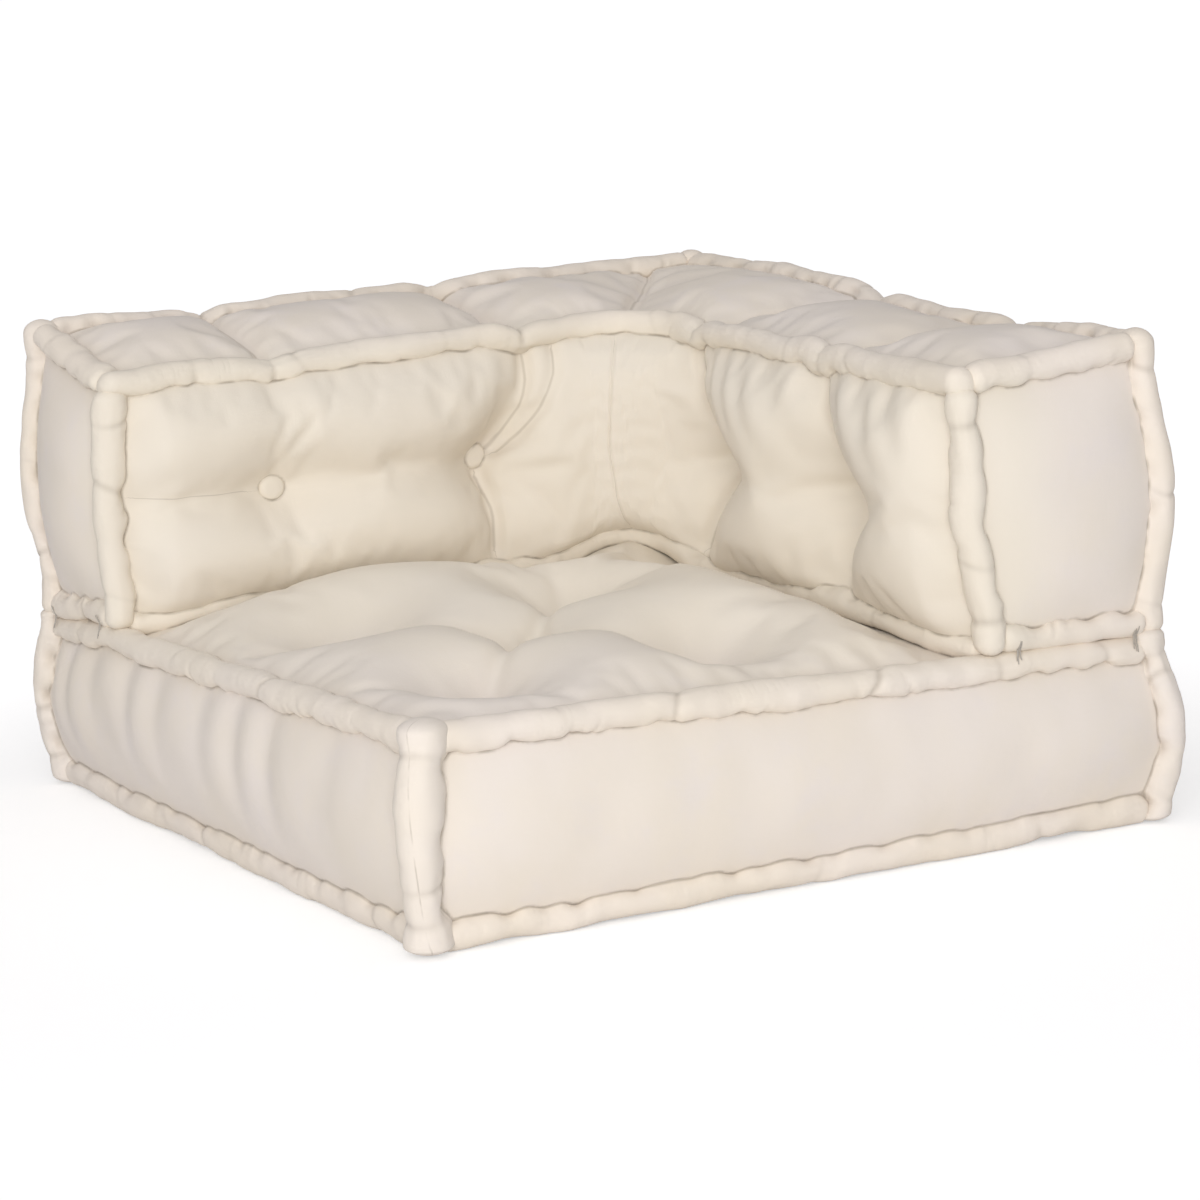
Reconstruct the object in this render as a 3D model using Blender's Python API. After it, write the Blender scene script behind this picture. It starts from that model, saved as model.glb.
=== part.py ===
"""Corner module of a low mattress sofa: a square tufted seat with an L-shaped buttoned back tacked on top.

Metres, +Z up. The open front faces -Y and the open side faces -X. The origin is on the floor in the middle.
The back is two arms that meet in a rounded corner: the rear arm lies along +Y and the side arm along +X.
"""

import math

import bmesh
import bpy
from mathutils import Vector

# Overall sizes, measured over the edge rolls
WIDTH = 0.75
DEPTH = 0.75
SEAT_HEIGHT = 0.180
BACK_HEIGHT = 0.447
BACK_THICKNESS = 0.194
INNER_DROP = 0.026  # the back's inner top roll lies this much lower than its outer one
CORNER_RADIUS = 0.085  # of the inner corner, at the middle of the inner rolls

# Cover, edge rolls and clearances
FABRIC = 0.0012
GAP = 0.0003
SEAM_GAP = 0.001  # at the seam of the two inner panels
CONTACT_GAP = 0.002  # between the two mattresses, inside their rolls
FILLING_GAP = 0.0005
ROLL_RADIUS = 0.0145
ROLL_STEP = 0.055
ROLL_PINCH = 0.10  # share of the radius that a stitch draws in
PINCH_EVERY = 3  # points of a roll from one pinch to the next
KNOB_SHARE = 0.62  # radius of the rounded top of an upright roll, as a share of the roll's
KNOB_HEIGHT = 0.006
SEAT_BOW = 0.012  # outward bow of the seat's upright rolls

# Stuffed shape of the panels
SEAT_CROWN = 0.054
SIDE_CROWN = 0.012
BOTTOM_RIM = 0.030  # the bottom panel lies flat inside this rim
INNER_CROWN = 0.036
OUTER_CROWN = 0.032
END_CROWN = 0.010
TOP_CROWN = 0.020
TOP_DIP = 0.9  # share of the top's crown lost above a button
DIP_SPREAD = 0.035
CORNER_FILL = 0.020  # extra bulge of the stuffing at the inner corner
CORNER_SPREAD = 0.085
VALLEY = 0.35  # share of the crown lost along the line of buttons
VALLEY_SPREAD = 0.035
PILLOW_DIP = 0.7  # share of the crown lost above and below a button, between two pillows
PILLOW_SPREAD = 0.040
END_FADE = 0.045

# Tufts
SEAT_TUFT_INSET = 0.140
SEAT_TUFT_PITCH = 0.215
SEAT_TUFT_DEPTH = 0.032
SEAT_TUFT_SPREAD = 0.044
BOTTOM_TUFT_DEPTH = 0.010
BOTTOM_TUFT_SPREAD = 0.035
REAR_BUTTON_INSET = 0.150
SIDE_BUTTON_INSET = 0.2045  # the side arm's buttons sit nearer to the corner
BUTTON_PITCH = 0.220
INNER_SINK = 0.026
OUTER_SINK = 0.014
BUTTON_SPREAD = 0.050
BUTTON_RADIUS = 0.0122
BUTTON_RIM = 0.003
BUTTON_DOME = 0.004
TWINE_RADIUS = 0.0015
KNOT_RADIUS = 0.005
KNOT_HEIGHT = 0.006
FLAT_MARGIN = 0.0015  # the flat of a tuft reaches this far past its button or knot
TURN_STEPS = 12

# Tacks that hold the back down on the seat
TACK_RADIUS = 0.0009
TACK_INSET = 0.036  # from the middle of the upright roll beside it
TACK_SWEEP = 50  # degrees that a tack reaches round each of its two rolls
TACK_BRIDGE = 25  # degrees from the crease where it leaves a roll

# Mesh fineness
CELL = 0.058
RIM = 0.022
SIDE_ROWS = 4
HALF_ROWS = 3  # rows of cells above and below a line of buttons
ACROSS = 5
BEND_STEPS = 2
ROLL_SIDES = 2  # bevel resolution: eight sides
CAP_INSET = 0.045
CAP_GAP = 0.002
NOTCH = 0.88  # share of a roll's radius that the filling's corners stay away from its middle

# Worked-out places
REACH = ROLL_RADIUS + GAP  # from a roll's middle to the edge of the panel beside it
HALF_X = WIDTH / 2 - ROLL_RADIUS
HALF_Y = DEPTH / 2 - ROLL_RADIUS
EDGE_X = HALF_X - REACH
EDGE_Y = HALF_Y - REACH
SEAT_LOW = ROLL_RADIUS
SEAT_TOP = SEAT_HEIGHT - ROLL_RADIUS
BOWED_REACH = REACH * math.hypot(1, math.pi * SEAT_BOW / (SEAT_TOP - SEAT_LOW))  # beside a bowed roll
SPAN = BACK_THICKNESS - 2 * ROLL_RADIUS
BACK_LOW = SEAT_HEIGHT + GAP + ROLL_RADIUS
OUTER_TOP = BACK_HEIGHT - ROLL_RADIUS
INNER_TOP = OUTER_TOP - INNER_DROP
BUTTON_LEVEL = (SEAT_HEIGHT + BACK_HEIGHT - INNER_DROP) / 2
BUTTON_FLAT = BUTTON_RADIUS + FLAT_MARGIN
KNOT_FLAT = KNOT_RADIUS + FLAT_MARGIN
FILLING_DEPTH = FABRIC + FILLING_GAP


# Materials

def cloth(name, colour, roughness):
    material = bpy.data.materials.new(name)
    material.use_nodes = True
    shader = material.node_tree.nodes["Principled BSDF"]
    shader.inputs["Base Color"].default_value = (*colour, 1.0)
    shader.inputs["Roughness"].default_value = roughness
    shader.inputs["Metallic"].default_value = 0.0
    return material


CANVAS = cloth("cream canvas", (0.80, 0.75, 0.66), 0.92)
ROLL_CANVAS = cloth("cream canvas, rolled edge", (0.82, 0.76, 0.66), 0.92)
BUTTON_CANVAS = cloth("cream canvas, button", (0.80, 0.74, 0.63), 0.90)
WADDING = cloth("cotton wadding", (0.86, 0.83, 0.76), 1.0)
TWINE = cloth("cotton twine", (0.62, 0.57, 0.48), 0.95)
THREAD = cloth("tacking thread", (0.45, 0.41, 0.36), 0.90)


# Small helpers

def pull(distance, spread):
    return math.exp(-((distance / spread) ** 2))


def dome(share):
    """1 in the middle of a span and 0 at both ends, where share is -1 and 1."""
    return 1 - share ** 4


def fade(distance, width):
    """1 at an edge, falling smoothly to 0 at the given width from it."""
    t = min(max(1 - distance / width, 0), 1)
    return t * t * (3 - 2 * t)


def grid_lines(start, end, flats, half, step=CELL):
    """Line places: a rim at each end, both edges of each tuft's flat, and even cells between."""
    marks = [start, start + RIM, end - RIM, end]
    marks += [centre + side * half for centre in flats for side in (-1, 1)]
    marks.sort()
    lines = []
    for low, high in zip(marks, marks[1:]):
        count = max(1, math.ceil((high - low) / step))
        lines += [low + (high - low) * k / count for k in range(count)]
    return lines + [end]


def even(start, end, count):
    return [start + (end - start) * k / count for k in range(count + 1)]


# Makers of one solid each

def add(name, data, material):
    data.materials.append(material)
    made = bpy.data.objects.new(name, data)
    bpy.context.scene.collection.objects.link(made)
    return made


def mesh_from(name, bm, smooth=True):
    mesh = bpy.data.meshes.new(name)
    bm.to_mesh(mesh)
    bm.free()
    if smooth:
        mesh.shade_smooth()
        mesh.set_sharp_from_angle(angle=math.radians(50))
    return mesh


def skin(grid, outward):
    """The grid's cells as triangles that face outward, and the vertices in the grid's order."""
    bm = bmesh.new()
    corners = [[bm.verts.new(point) for point in row] for row in grid]
    for row, after in zip(corners, corners[1:]):
        for k in range(len(row) - 1):
            bm.faces.new((row[k], after[k], after[k + 1]))
            bm.faces.new((row[k], after[k + 1], row[k + 1]))
    bm.normal_update()
    if sum((face.normal for face in bm.faces), Vector()).dot(outward) < 0:
        bmesh.ops.reverse_faces(bm, faces=bm.faces[:])
    bm.normal_update()
    return bm, corners


def panel(name, grid, outward, holes=None):
    """A cover panel: the grid as its outer face, one fabric thick, with needle holes cut in it."""
    bm, _ = skin(grid, outward)
    sheet = add(name, mesh_from(name, bm), CANVAS)
    cover = sheet.modifiers.new("fabric", "SOLIDIFY")
    cover.thickness = FABRIC
    cover.offset = -1
    if holes:
        cut(sheet, holes)
    return sheet


def inward(grid, outward):
    """The grid moved in under its panel, where the filling's own surface lies."""
    bm, corners = skin(grid, outward)
    moved = [[vert.co - vert.normal * FILLING_DEPTH for vert in row] for row in corners]
    bm.free()
    return moved


def cut(solid, cutter):
    hole = solid.modifiers.new("needle_holes", "BOOLEAN")
    hole.operation = "DIFFERENCE"
    hole.solver = "EXACT"
    hole.object = cutter


def filling(name, sections, caps, cutter):
    """One solid through the sections, each a closed loop, with a ring and a peak closing each end."""
    bm = bmesh.new()
    loops = [caps[0][0], *sections, caps[1][0]]
    rings = [[bm.verts.new(point) for point in loop] for loop in loops]
    for ring, after in zip(rings, rings[1:]):
        for k in range(len(ring)):
            beyond = (k + 1) % len(ring)
            bm.faces.new((ring[k], after[k], after[beyond]))
            bm.faces.new((ring[k], after[beyond], ring[beyond]))
    for ring, (_, peak) in ((rings[0], caps[0]), (rings[-1], caps[1])):
        tip = bm.verts.new(peak)
        for k in range(len(ring)):
            bm.faces.new((ring[k], ring[(k + 1) % len(ring)], tip))
    bmesh.ops.recalc_face_normals(bm, faces=bm.faces[:])
    core = add(name, mesh_from(name, bm), WADDING)
    cut(core, cutter)
    return core


def roll(name, route, knobs=()):
    """A stuffed edge roll along the route, pinched where stitches draw it in and rounded at its knobs."""
    curve = bpy.data.curves.new(name, "CURVE")
    curve.dimensions = "3D"
    curve.bevel_depth = ROLL_RADIUS
    curve.bevel_resolution = ROLL_SIDES
    curve.use_fill_caps = True
    spline = curve.splines.new("POLY")
    spline.points.add(len(route) - 1)
    for k, (point, place) in enumerate(zip(spline.points, route)):
        inside = 0 < k < len(route) - 1
        point.co = (*place, 1)
        point.radius = 1 - ROLL_PINCH if inside and k % PINCH_EVERY == 0 else 1
    for k in knobs:
        spline.points[k].radius = KNOB_SHARE
    return add(name, curve, ROLL_CANVAS)


def run(start, end):
    """Evenly spaced points of a straight roll."""
    start, end = Vector(start), Vector(end)
    count = max(2, math.ceil((end - start).length / ROLL_STEP))
    return [start.lerp(end, k / count) for k in range(count + 1)]


def turned(name, profile, base, axis, material):
    """A solid turned about an axis, from (radius, height) points that start and end on it."""
    bm = bmesh.new()
    points = [bm.verts.new((radius, 0, height)) for radius, height in profile]
    edges = [bm.edges.new(pair) for pair in zip(points, points[1:])]
    bmesh.ops.spin(bm, geom=points + edges, cent=(0, 0, 0), axis=(0, 0, 1), angle=math.tau, steps=TURN_STEPS)
    bmesh.ops.remove_doubles(bm, verts=bm.verts[:], dist=1e-5)
    bmesh.ops.recalc_face_normals(bm, faces=bm.faces[:])
    made = add(name, mesh_from(name, bm), material)
    made.location = base
    made.rotation_euler = axis.to_track_quat("Z", "Y").to_euler()
    return made


def needle_cutter(name, spans):
    """The straight ways that twine takes through a mattress, as one hidden cutter."""
    bm = bmesh.new()
    for start, end in spans:
        way = end - start
        turn = way.to_track_quat("Z", "Y").to_matrix().to_4x4()
        turn.translation = (start + end) / 2
        bmesh.ops.create_cone(bm, cap_ends=True, segments=TURN_STEPS, radius1=TWINE_RADIUS + GAP,
                              radius2=TWINE_RADIUS + GAP, depth=way.length, matrix=turn)
    cutter = bpy.data.objects.new(name, mesh_from(name, bm, smooth=False))
    bpy.context.scene.collection.objects.link(cutter)
    cutter.hide_render = True
    cutter.display_type = "WIRE"
    return cutter


# Seat surfaces

def bow(z):
    """Outward bow of the seat's upright rolls, which stand straight beside the rolls at both their ends."""
    return SEAT_BOW * math.sin(math.pi * min(max((z - SEAT_LOW) / (SEAT_TOP - SEAT_LOW), 0), 1))


def seat_tufts():
    """Two by two tufts in the open part of the seat, and one in the middle of them."""
    left, front = SEAT_TUFT_INSET - WIDTH / 2, SEAT_TUFT_INSET - DEPTH / 2
    places = [(left + i * SEAT_TUFT_PITCH, front + j * SEAT_TUFT_PITCH) for j in (0, 1) for i in (0, 1)]
    return places + [(left + SEAT_TUFT_PITCH / 2, front + SEAT_TUFT_PITCH / 2)]


def seat_level(x, y):
    """Height of the seat's top panel."""
    crown = SEAT_CROWN * dome(min(abs(x) / EDGE_X, 1)) * dome(min(abs(y) / EDGE_Y, 1))
    tufts = sum(pull(math.hypot(x - u, y - v), SEAT_TUFT_SPREAD) for u, v in seat_tufts())
    return SEAT_TOP + crown - SEAT_TUFT_DEPTH * tufts


def floor_level(x, y):
    """Height of the seat's bottom panel, which lies on the floor but for its rim and its tufts."""
    rim = fade(min(EDGE_X - abs(x), EDGE_Y - abs(y)), BOTTOM_RIM)
    tufts = sum(pull(math.hypot(x - u, y - v), BOTTOM_TUFT_SPREAD) for u, v in seat_tufts())
    dimple = BOTTOM_TUFT_DEPTH * max(tufts - pull(2 * BOTTOM_TUFT_SPREAD, BOTTOM_TUFT_SPREAD), 0)
    return max(SEAT_LOW * rim, dimple)


def side_bulge(share, z):
    """How far a seat side panel stands out past the middle of its edge rolls."""
    level = (2 * z - SEAT_LOW - SEAT_TOP) / (SEAT_TOP - SEAT_LOW - 2 * REACH)
    return bow(z) + SIDE_CROWN * dome(min(abs(share), 1)) * dome(min(abs(level), 1))


def seat_side(shares, rows, half_along, half_out, place):
    """Grid of one seat side; place turns (along, out, z) into a point."""
    grid = []
    for share in shares:
        column = [(share * (half_along + bow(z) - BOWED_REACH), half_out + side_bulge(share, z), z)
                  for z in rows]
        grid.append([place(*point) for point in column])
    return grid


# Seat

def build_seat():
    tufts = seat_tufts()
    x_lines = grid_lines(-EDGE_X, EDGE_X, sorted({u for u, _ in tufts}), KNOT_FLAT)
    y_lines = grid_lines(-EDGE_Y, EDGE_Y, sorted({v for _, v in tufts}), KNOT_FLAT)
    rows = even(SEAT_LOW + REACH, SEAT_TOP - REACH, SIDE_ROWS)
    x_shares = [x / EDGE_X for x in x_lines]
    y_shares = even(-1, 1, math.ceil(2 * EDGE_Y / CELL))

    top = [[Vector((x, y, seat_level(x, y))) for y in y_lines] for x in x_lines]
    bottom = [[Vector((x, y, floor_level(x, y))) for y in reversed(y_lines)] for x in x_lines]
    front = seat_side(x_shares, rows, HALF_X, HALF_Y, lambda a, o, z: Vector((a, -o, z)))
    rear = seat_side(x_shares, rows[::-1], HALF_X, HALF_Y, lambda a, o, z: Vector((a, o, z)))
    left = seat_side(y_shares, rows, HALF_Y, HALF_X, lambda a, o, z: Vector((-o, a, z)))
    right = seat_side(y_shares, rows, HALF_Y, HALF_X, lambda a, o, z: Vector((o, a, z)))

    up, ahead, across = Vector((0, 0, 1)), Vector((0, -1, 0)), Vector((1, 0, 0))
    ways = needle_cutter("seat_needle_ways", [
        (Vector((u, v, -ROLL_RADIUS)), Vector((u, v, SEAT_HEIGHT + SEAT_CROWN))) for u, v in tufts])
    panel("seat_top_panel", top, up, ways)
    panel("seat_bottom_panel", bottom, -up, ways)
    panel("seat_front_panel", front, ahead)
    panel("seat_rear_panel", rear, -ahead)
    panel("seat_left_panel", left, -across)
    panel("seat_right_panel", right, across)

    patches = (inward(front, ahead), inward(top, up), inward(rear, -ahead), inward(bottom, -up))
    notch_y, notch_up, notch_down = HALF_Y - NOTCH * ROLL_RADIUS, SEAT_TOP, SEAT_LOW
    notches = ((-notch_y, notch_up - NOTCH * ROLL_RADIUS), (notch_y, notch_up - NOTCH * ROLL_RADIUS),
               (notch_y, notch_down + NOTCH * ROLL_RADIUS), (-notch_y, notch_down + NOTCH * ROLL_RADIUS))
    sections = []
    for k, x in enumerate(x_lines):
        loop = []
        for patch, (y, z) in zip(patches, notches):
            loop += patch[k] + [Vector((x, y, z))]
        sections.append(loop)
    filling("seat_filling", sections, (seat_cap(sections[0], -1), seat_cap(sections[-1], 1)), ways)

    build_seat_rolls()
    build_seat_ties(tufts)


def seat_cap(loop, side):
    """The ring and the peak that close the filling behind the left (-1) or the right (1) panel."""
    middle = (SEAT_LOW + SEAT_TOP) / 2
    shrink_y = 1 - CAP_INSET / HALF_Y
    shrink_z = 1 - CAP_INSET / ((SEAT_TOP - SEAT_LOW) / 2)
    ring = [Vector((side * HALF_X, point.y * shrink_y, middle + (point.z - middle) * shrink_z))
            for point in loop]
    peak = HALF_X + side_bulge(0, middle) - FABRIC - CAP_GAP
    return ring, Vector((side * peak, 0, middle))


def build_seat_rolls():
    for level, z in (("bottom", SEAT_LOW), ("top", SEAT_TOP)):
        for side, y in (("front", -HALF_Y), ("rear", HALF_Y)):
            roll(f"seat_{level}_roll_{side}", run((-EDGE_X, y, z), (EDGE_X, y, z)))
        for side, x in (("left", -HALF_X), ("right", HALF_X)):
            roll(f"seat_{level}_roll_{side}", run((x, -EDGE_Y, z), (x, EDGE_Y, z)))
    for front, sign_y in (("front", -1), ("rear", 1)):
        for side, sign_x in (("left", -1), ("right", 1)):
            levels = [0, *even(SEAT_LOW, SEAT_TOP, SIDE_ROWS), SEAT_HEIGHT]
            route = [(sign_x * (HALF_X + bow(z)), sign_y * (HALF_Y + bow(z)), z) for z in levels]
            roll(f"seat_corner_roll_{front}_{side}", route)


def build_seat_ties(tufts):
    """Twine through the seat, knotted in the dimple of the top panel and in that of the bottom panel."""
    for number, (u, v) in enumerate(tufts, 1):
        flat = [(u + i * KNOT_FLAT, v + j * KNOT_FLAT) for i in (-1, 1) for j in (-1, 1)]
        high = max(seat_level(x, y) for x, y in flat) + GAP
        low = min(floor_level(x, y) for x, y in flat) - GAP
        profile = [(0, low - KNOT_HEIGHT), (KNOT_RADIUS, low - KNOT_HEIGHT), (KNOT_RADIUS, low),
                   (TWINE_RADIUS, low), (TWINE_RADIUS, high), (KNOT_RADIUS, high),
                   (KNOT_RADIUS, high + KNOT_HEIGHT / 2), (0, high + KNOT_HEIGHT)]
        turned(f"seat_tuft_tie_{number}", profile, (u, v, 0), Vector((0, 0, 1)), TWINE)


# Back: one arm at a time, in its own (a, o, z): a along it from its end, o in from its outer rolls, z up

class Arm:
    def __init__(self, name, length, inset, place):
        self.name = name
        self.length = length  # from the end's rolls to the outer corner, middle to middle
        self.place = place
        self.bend = length - SPAN - CORNER_RADIUS  # where the inner corner starts to turn
        self.first = inset - ROLL_RADIUS
        count = 1 + int((self.bend - BUTTON_FLAT - self.first) / BUTTON_PITCH)
        self.buttons = [self.first + k * BUTTON_PITCH for k in range(count)]
        self.stations = self.find_stations()

    def point(self, a, o, z):
        return Vector(self.place(a, o, z))

    def direction(self, a, o):
        return self.point(a, o, 0) - self.point(0, 0, 0)

    def find_stations(self):
        """(inner place, normal towards the seat, outer place) from the end to the inner corner's seam."""
        found = [((a, SPAN), (0, 1), a) for a in grid_lines(REACH, self.bend, self.buttons, BUTTON_FLAT)]
        for k in range(1, BEND_STEPS + 1):
            angle = math.radians(45) * k / BEND_STEPS
            s, c = math.sin(angle), math.cos(angle)
            inner = (self.bend + CORNER_RADIUS * s, SPAN + CORNER_RADIUS * (1 - c))
            outer = self.bend + (self.length - REACH - self.bend) * k / BEND_STEPS
            found.append((inner, (-s, c), outer))
        return found

    def inner_roll_level(self, inner):
        """Height of the middle of the inner bottom roll, which lies on the crown of the seat."""
        place = self.point(max(inner[0], REACH + RIM), inner[1], 0)
        under = [seat_level(place.x + i * ROLL_RADIUS, place.y + j * ROLL_RADIUS)
                 for i in (-1, 0, 1) for j in (-1, 0, 1)]
        return max(max(under) + REACH, SEAT_HEIGHT + GAP)

    def inner_low(self, inner):
        """Lower edge of the inner panel: clear of its roll, also where that climbs the crown of the seat."""
        level = self.inner_roll_level(inner)
        beside = [self.inner_roll_level((inner[0] + step, inner[1])) for step in (-CELL, CELL)]
        climb = max(abs(other - level) for other in beside) / CELL
        return level + REACH * math.hypot(1, climb) + GAP

    def sink(self, a, z):
        return sum(pull(math.hypot(a - b, z - BUTTON_LEVEL), BUTTON_SPREAD) for b in self.buttons)

    def bulge(self, crown, a, z, low, high):
        """How far the stuffing pushes a buttoned panel out between its rolls, without the buttons' pull."""
        level = (2 * z - low - high) / (high - low)
        lobes = 1 - VALLEY * pull(z - BUTTON_LEVEL, VALLEY_SPREAD)
        pillows = 1 - PILLOW_DIP * min(sum(pull(a - b, PILLOW_SPREAD) for b in self.buttons), 1)
        return crown * dome(level) * lobes * pillows * (1 - fade(a - REACH, END_FADE))

    def rows(self, low, high):
        """Heights of a panel's grid lines, with a flat band at the buttons."""
        under = even(low, BUTTON_LEVEL - BUTTON_FLAT, HALF_ROWS)
        return under + even(BUTTON_LEVEL + BUTTON_FLAT, high, HALF_ROWS)

    def inner_out(self, inner, z, low, high):
        a = inner[0]
        level = (2 * z - low - high) / (high - low)
        corner = math.hypot(a - self.bend - CORNER_RADIUS, inner[1] - SPAN)
        filled = CORNER_FILL * dome(level) * pull(corner, CORNER_SPREAD)
        return self.bulge(INNER_CROWN, a, z, low, high) + filled - INNER_SINK * self.sink(a, z)

    def inner_grid(self, setback):
        """Columns of the inner panel, with its seam edge set back along the cloth."""
        grid = []
        for inner, normal, _ in self.stations:
            low, high = self.inner_low(inner), INNER_TOP - REACH
            back = setback if inner == self.stations[-1][0] else 0
            column = []
            for z in self.rows(low, high):
                out = self.inner_out(inner, z, low, high)
                a = inner[0] + normal[0] * out - normal[1] * back
                o = inner[1] + normal[1] * out + normal[0] * back
                column.append(self.point(a, o, z))
            grid.append(column)
        return grid

    def outer_out(self, a, z):
        low, high = BACK_LOW + REACH, OUTER_TOP - REACH
        return self.bulge(OUTER_CROWN, a, z, low, high) * (1 - fade(self.length - REACH - a, END_FADE)) \
            - OUTER_SINK * self.sink(a, z)

    def outer_grid(self):
        rows = self.rows(BACK_LOW + REACH, OUTER_TOP - REACH)[::-1]
        return [[self.point(a, -self.outer_out(a, z), z) for z in rows] for _, _, a in self.stations]

    def across(self, station):
        """(a, o, share) from the inner roll to the outer one, between their edges."""
        (a, o), (na, no), outer = station
        start, end = Vector((a - na * REACH, o - no * REACH)), Vector((outer, REACH))
        return [(*start.lerp(end, k / ACROSS), k / ACROSS) for k in range(ACROSS + 1)]

    def top_grid(self):
        grid = []
        for station in self.stations:
            dip = 1 - TOP_DIP * min(sum(pull(station[2] - b, DIP_SPREAD) for b in self.buttons), 1)
            crown = TOP_CROWN * dip * (1 - fade(station[2] - REACH, END_FADE))
            grid.append([self.point(a, o, INNER_TOP + INNER_DROP * share + crown * dome(2 * share - 1))
                         for a, o, share in self.across(station)])
        return grid

    def bottom_grid(self):
        """The underside: it follows the crown of the seat, and rises to the middles of its own rolls."""
        grid = []
        for station in self.stations:
            inner_level = self.inner_roll_level(station[0])
            row = []
            for a, o, share in self.across(station)[::-1]:
                place = self.point(a, o, 0)
                level = seat_level(place.x, place.y) + CONTACT_GAP
                inner_share = fade(share * SPAN, RIM)
                outer_share = max(fade((1 - share) * SPAN, RIM), fade(a - REACH, RIM))
                level += (max(inner_level, level) - level) * inner_share
                level += (max(BACK_LOW, level) - level) * outer_share
                row.append(self.point(a, o, level))
            grid.append(row)
        return grid

    def end_out(self, o, z):
        low, high = BACK_LOW + REACH, INNER_TOP - REACH
        level = min(max((2 * z - low - high) / (high - low), -1), 1)
        return END_CROWN * dome((2 * o - SPAN) / (SPAN - 2 * REACH)) * dome(level)

    def top_level(self, o):
        """Height of the middle of the end's top roll, which slopes from the outer roll to the inner one."""
        return OUTER_TOP - INNER_DROP * o / SPAN

    def end_grid(self):
        grid = []
        for o in even(REACH, SPAN - REACH, ACROSS):
            rows = even(BACK_LOW + REACH, self.top_level(o) - REACH, 2 * HALF_ROWS)
            grid.append([self.point(-self.end_out(o, z), o, z) for z in rows])
        return grid

    def notches(self, station):
        """Corners of the filling beside the four rolls along the arm, in the order of a section's loop."""
        (a, o), (na, no), outer = station
        clear = NOTCH * ROLL_RADIUS
        beside = (a - na * clear, o - no * clear)
        behind = (min(outer, self.length - clear), clear)
        if station is self.stations[-1]:
            behind = (self.length - clear, clear)
        low = self.inner_roll_level((a, o))
        return (self.point(*beside, INNER_TOP - clear), self.point(*behind, OUTER_TOP - clear),
                self.point(*behind, BACK_LOW + clear), self.point(*beside, low + clear))

    def cap(self, loop):
        """The ring and the peak that close the filling behind the end panel."""
        centre_o, centre_z = SPAN / 2, (BACK_LOW + INNER_TOP) / 2
        shrink_o = 1 - CAP_INSET / (SPAN / 2)
        shrink_z = 1 - CAP_INSET / ((INNER_TOP - BACK_LOW) / 2)
        origin, along = self.point(0, 0, 0), self.direction(0, 1)
        ring = []
        for point in loop:
            o = centre_o + ((point - origin).dot(along) - centre_o) * shrink_o
            z = centre_z + (point.z - centre_z) * shrink_z
            ring.append(self.point(0, o, z))
        peak = FABRIC + CAP_GAP - self.end_out(centre_o, centre_z)
        return ring, self.point(peak, centre_o, centre_z)


REAR = Arm("rear", 2 * HALF_X, REAR_BUTTON_INSET, lambda a, o, z: (a - HALF_X, HALF_Y - o, z))
SIDE = Arm("side", 2 * HALF_Y, SIDE_BUTTON_INSET, lambda a, o, z: (HALF_X - o, a - HALF_Y, z))


def joined(rear_grid, side_grid):
    """One grid along both arms; the two share the row at the corner."""
    return rear_grid + side_grid[::-1][1:]


def build_back():
    up = Vector((0, 0, 1))
    ways = needle_cutter("back_needle_ways", [
        (arm.point(b, SPAN + INNER_CROWN, BUTTON_LEVEL), arm.point(b, -OUTER_CROWN, BUTTON_LEVEL))
        for arm in (REAR, SIDE) for b in arm.buttons])
    top = joined(REAR.top_grid(), SIDE.top_grid())
    bottom = joined(REAR.bottom_grid(), SIDE.bottom_grid())
    panel("back_top_panel", top, up)
    panel("back_bottom_panel", bottom, -up)
    for arm in (REAR, SIDE):
        order = 1 if arm is REAR else -1
        panel(f"{arm.name}_inner_panel", arm.inner_grid(SEAM_GAP / 2)[::order], arm.direction(0, 1), ways)
        panel(f"{arm.name}_outer_panel", arm.outer_grid()[::order], arm.direction(0, -1), ways)
        panel(f"{arm.name}_end_panel", arm.end_grid(), arm.direction(-1, 0))
        build_arm_rolls(arm)
        build_buttons(arm)
        build_tacks(arm)
    build_back_filling(top, bottom, ways)
    build_corner_rolls()


def build_back_filling(top, bottom, ways):
    up, towards_seat = Vector((0, 0, 1)), Vector((-1, -1, 0))
    post = [REAR.point(REAR.length - NOTCH * ROLL_RADIUS, NOTCH * ROLL_RADIUS, z)
            for z in REAR.rows(BACK_LOW + REACH, OUTER_TOP - REACH)[::-1]]
    inner = inward(joined(REAR.inner_grid(0), SIDE.inner_grid(0)), towards_seat)
    outer = inward(REAR.outer_grid()[:-1], REAR.direction(0, -1)) + [post]
    outer += inward(SIDE.outer_grid()[-2::-1], SIDE.direction(0, -1))
    patches = (inner, inward(top, up), outer, inward(bottom, -up))
    assert len(inner) == len(outer) == len(top) == len(bottom)
    corners = joined([REAR.notches(s) for s in REAR.stations], [SIDE.notches(s) for s in SIDE.stations])
    sections = []
    for k, notches in enumerate(corners):
        loop = []
        for patch, notch in zip(patches, notches):
            loop += patch[k] + [notch]
        sections.append(loop)
    filling("back_filling", sections, (REAR.cap(sections[0]), SIDE.cap(sections[-1])), ways)


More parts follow.
